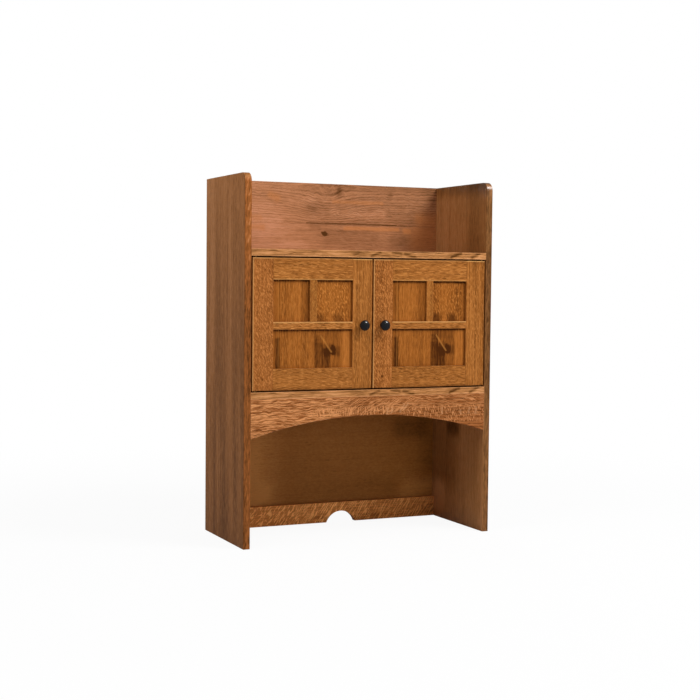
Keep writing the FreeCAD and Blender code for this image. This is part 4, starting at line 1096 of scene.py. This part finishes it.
for hand in HANDS:
    low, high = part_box(hand + "_knob")
    foot = ((low.x + high.x) / 2, high.y, (low.z + high.z) / 2)
    knob_piece = turn_up(hand + "_turned_knob", foot, (0, -1, 0), KNOB_RINGS, MILLIMETRE, KNOB_SEGMENTS)
    finish_piece(knob_piece, enamel, hand + "_door", "black_knob", hand + "_knob")
    print(knob_piece.name, len(knob_piece.data.polygons), "faces")

# %% [markdown]
# ## Screws
# Every screw has a cross in its head. Most heads are flat and sunk flush, and those behind the knobs
# are domed. The head and shank are turned like the knob, and the cross is cut with a Boolean from
# two narrow crossed bars. The places come from the frame: a copy of each node is split into its
# loose screws, and of each the longest side gives the axis and the wider end the head. One screw is
# modelled per node, and copied.

# %% Find the screws
SCREW_NODES = [node_name for node_name in boards if "screw" in node_name]
DOUBLES = 1e-6
HEAD_RIM = 0.45


def measure_screw(points):
    """The head's middle, the direction into the wood, the length and the head radius of one screw."""
    low, high = (Vector(end(p[i] for p in points) for i in range(3)) for end in (min, max))
    size, middle = high - low, (low + high) / 2
    axis = max(range(3), key=lambda i: size[i])
    width = max(size[i] for i in range(3) if i != axis)
    rim = [p[axis] for p in points
           if (p - middle).length_squared - (p - middle)[axis] ** 2 > (HEAD_RIM * width) ** 2]
    into = Vector((0, 0, 0))
    into[axis] = -1.0 if sum(rim) / len(rim) > middle[axis] else 1.0
    return middle - into * (size[axis] / 2), into, size[axis], width / 2


def loose_screws(node_name):
    """The measures of each screw in a node."""
    pick(boards[node_name])
    bpy.ops.object.duplicate()
    bpy.ops.object.mode_set(mode="EDIT")
    bpy.ops.mesh.select_all(action="SELECT")
    bpy.ops.mesh.remove_doubles(threshold=DOUBLES)
    bpy.ops.mesh.separate(type="LOOSE")
    bpy.ops.object.mode_set(mode="OBJECT")
    found = [measure_screw([vertex.co.copy() for vertex in part.data.vertices])
             for part in bpy.context.selected_objects]
    bpy.ops.object.delete()
    return found


screw_places = {node_name: loose_screws(node_name) for node_name in SCREW_NODES}
print({node_name: len(places) for node_name, places in screw_places.items()})

# %% Model and copy the screws
SCREW_SEGMENTS = 24
# Rings of the two kinds of head: radius, and distance from the head's face, both in head radii.
FLAT_HEAD = ((0.94, 0.0), (1.0, 0.06), (0.98, 0.16), (0.55, 0.58), (0.485, 0.62))
DOMED_HEAD = ((0.42, 0.0), (0.72, 0.06), (0.9, 0.16), (0.98, 0.3), (1.0, 0.44), (1.0, 0.57), (0.476, 0.571))
FLAT_SHANK, DOMED_SHANK = 0.47, 0.476
TIP_START, TIP_SHARE = 0.86, 0.35
CROSS_LENGTH, CROSS_WIDTH, CROSS_DEPTH, CROSS_TAPER = 1.1, 0.26, 0.7, 0.5
UPWARD, FIRST_TWIST, NEXT_TWIST = 0.9, 0.37, 1.9


def cut_cross(screw, radius):
    """Cuts two crossed bars, narrower inside, from the head of a screw."""
    for turn in (0.0, math.pi / 2):
        bpy.ops.object.select_all(action="DESELECT")
        bpy.ops.mesh.primitive_cube_add(
            size=1.0, rotation=(0, 0, turn),
            scale=(radius * CROSS_LENGTH, radius * CROSS_WIDTH, radius * CROSS_DEPTH))
        bar = bpy.context.object
        bpy.ops.object.transform_apply(location=True, rotation=True, scale=True)
        bpy.ops.object.mode_set(mode="EDIT")
        bpy.ops.mesh.select_all(action="DESELECT")
        bpy.ops.object.mode_set(mode="OBJECT")
        for face in bar.data.polygons:
            face.select = face.normal.z > UPWARD
        bpy.ops.object.mode_set(mode="EDIT")
        bpy.ops.transform.resize(value=(CROSS_TAPER, CROSS_TAPER, 1.0), center_override=(0, 0, 0))
        bpy.ops.object.mode_set(mode="OBJECT")
        pick(screw)
        cut = screw.modifiers.new("cross", "BOOLEAN")
        cut.object, cut.operation, cut.solver = bar, "DIFFERENCE", "EXACT"
        bpy.ops.object.modifier_apply(modifier="cross")
        bpy.data.objects.remove(bar, do_unlink=True)


def model_screw(name, length, radius, rings, shank):
    """A screw along Z with the face of its head at zero."""
    tip = ((shank, length * TIP_START / radius), (shank * TIP_SHARE, length / radius))
    screw = turn_up(name, (0, 0, 0), (0, 0, 1), rings + tip, radius, SCREW_SEGMENTS)
    cut_cross(screw, radius)
    return screw


for node_name, places in screw_places.items():
    hand = node_name.split("_")[0]
    body = hand + "_door" if hand in HANDS else "carcass"
    material, slot = (brass, "brass") if "hinge" in node_name else (zinc, "steel")
    rings, shank = (DOMED_HEAD, DOMED_SHANK) if "knob" in node_name else (FLAT_HEAD, FLAT_SHANK)
    pattern = model_screw("cut_" + node_name, *places[0][2:], rings, shank)
    shape = pattern.data.copy()
    copies = [pattern]
    for place in places[1:]:
        copies.append(pattern.copy())
        copies[-1].data = shape.copy()
        bpy.context.collection.objects.link(copies[-1])
    pick(pattern)
    for number, (screw, (head, into, *_)) in enumerate(zip(copies, places)):
        twist = Matrix.Rotation(FIRST_TWIST + NEXT_TWIST * number, 4, "Z")
        aim = into.to_track_quat("Z", "Y").to_matrix().to_4x4()
        screw.data.transform(Matrix.Translation(head) @ aim @ twist)
        screw.select_set(True)
    if len(places) > 1:
        bpy.ops.object.join()
    finish_piece(pattern, material, body, slot, node_name)
print("modelled", sum(len(places) for places in screw_places.values()), "screws")
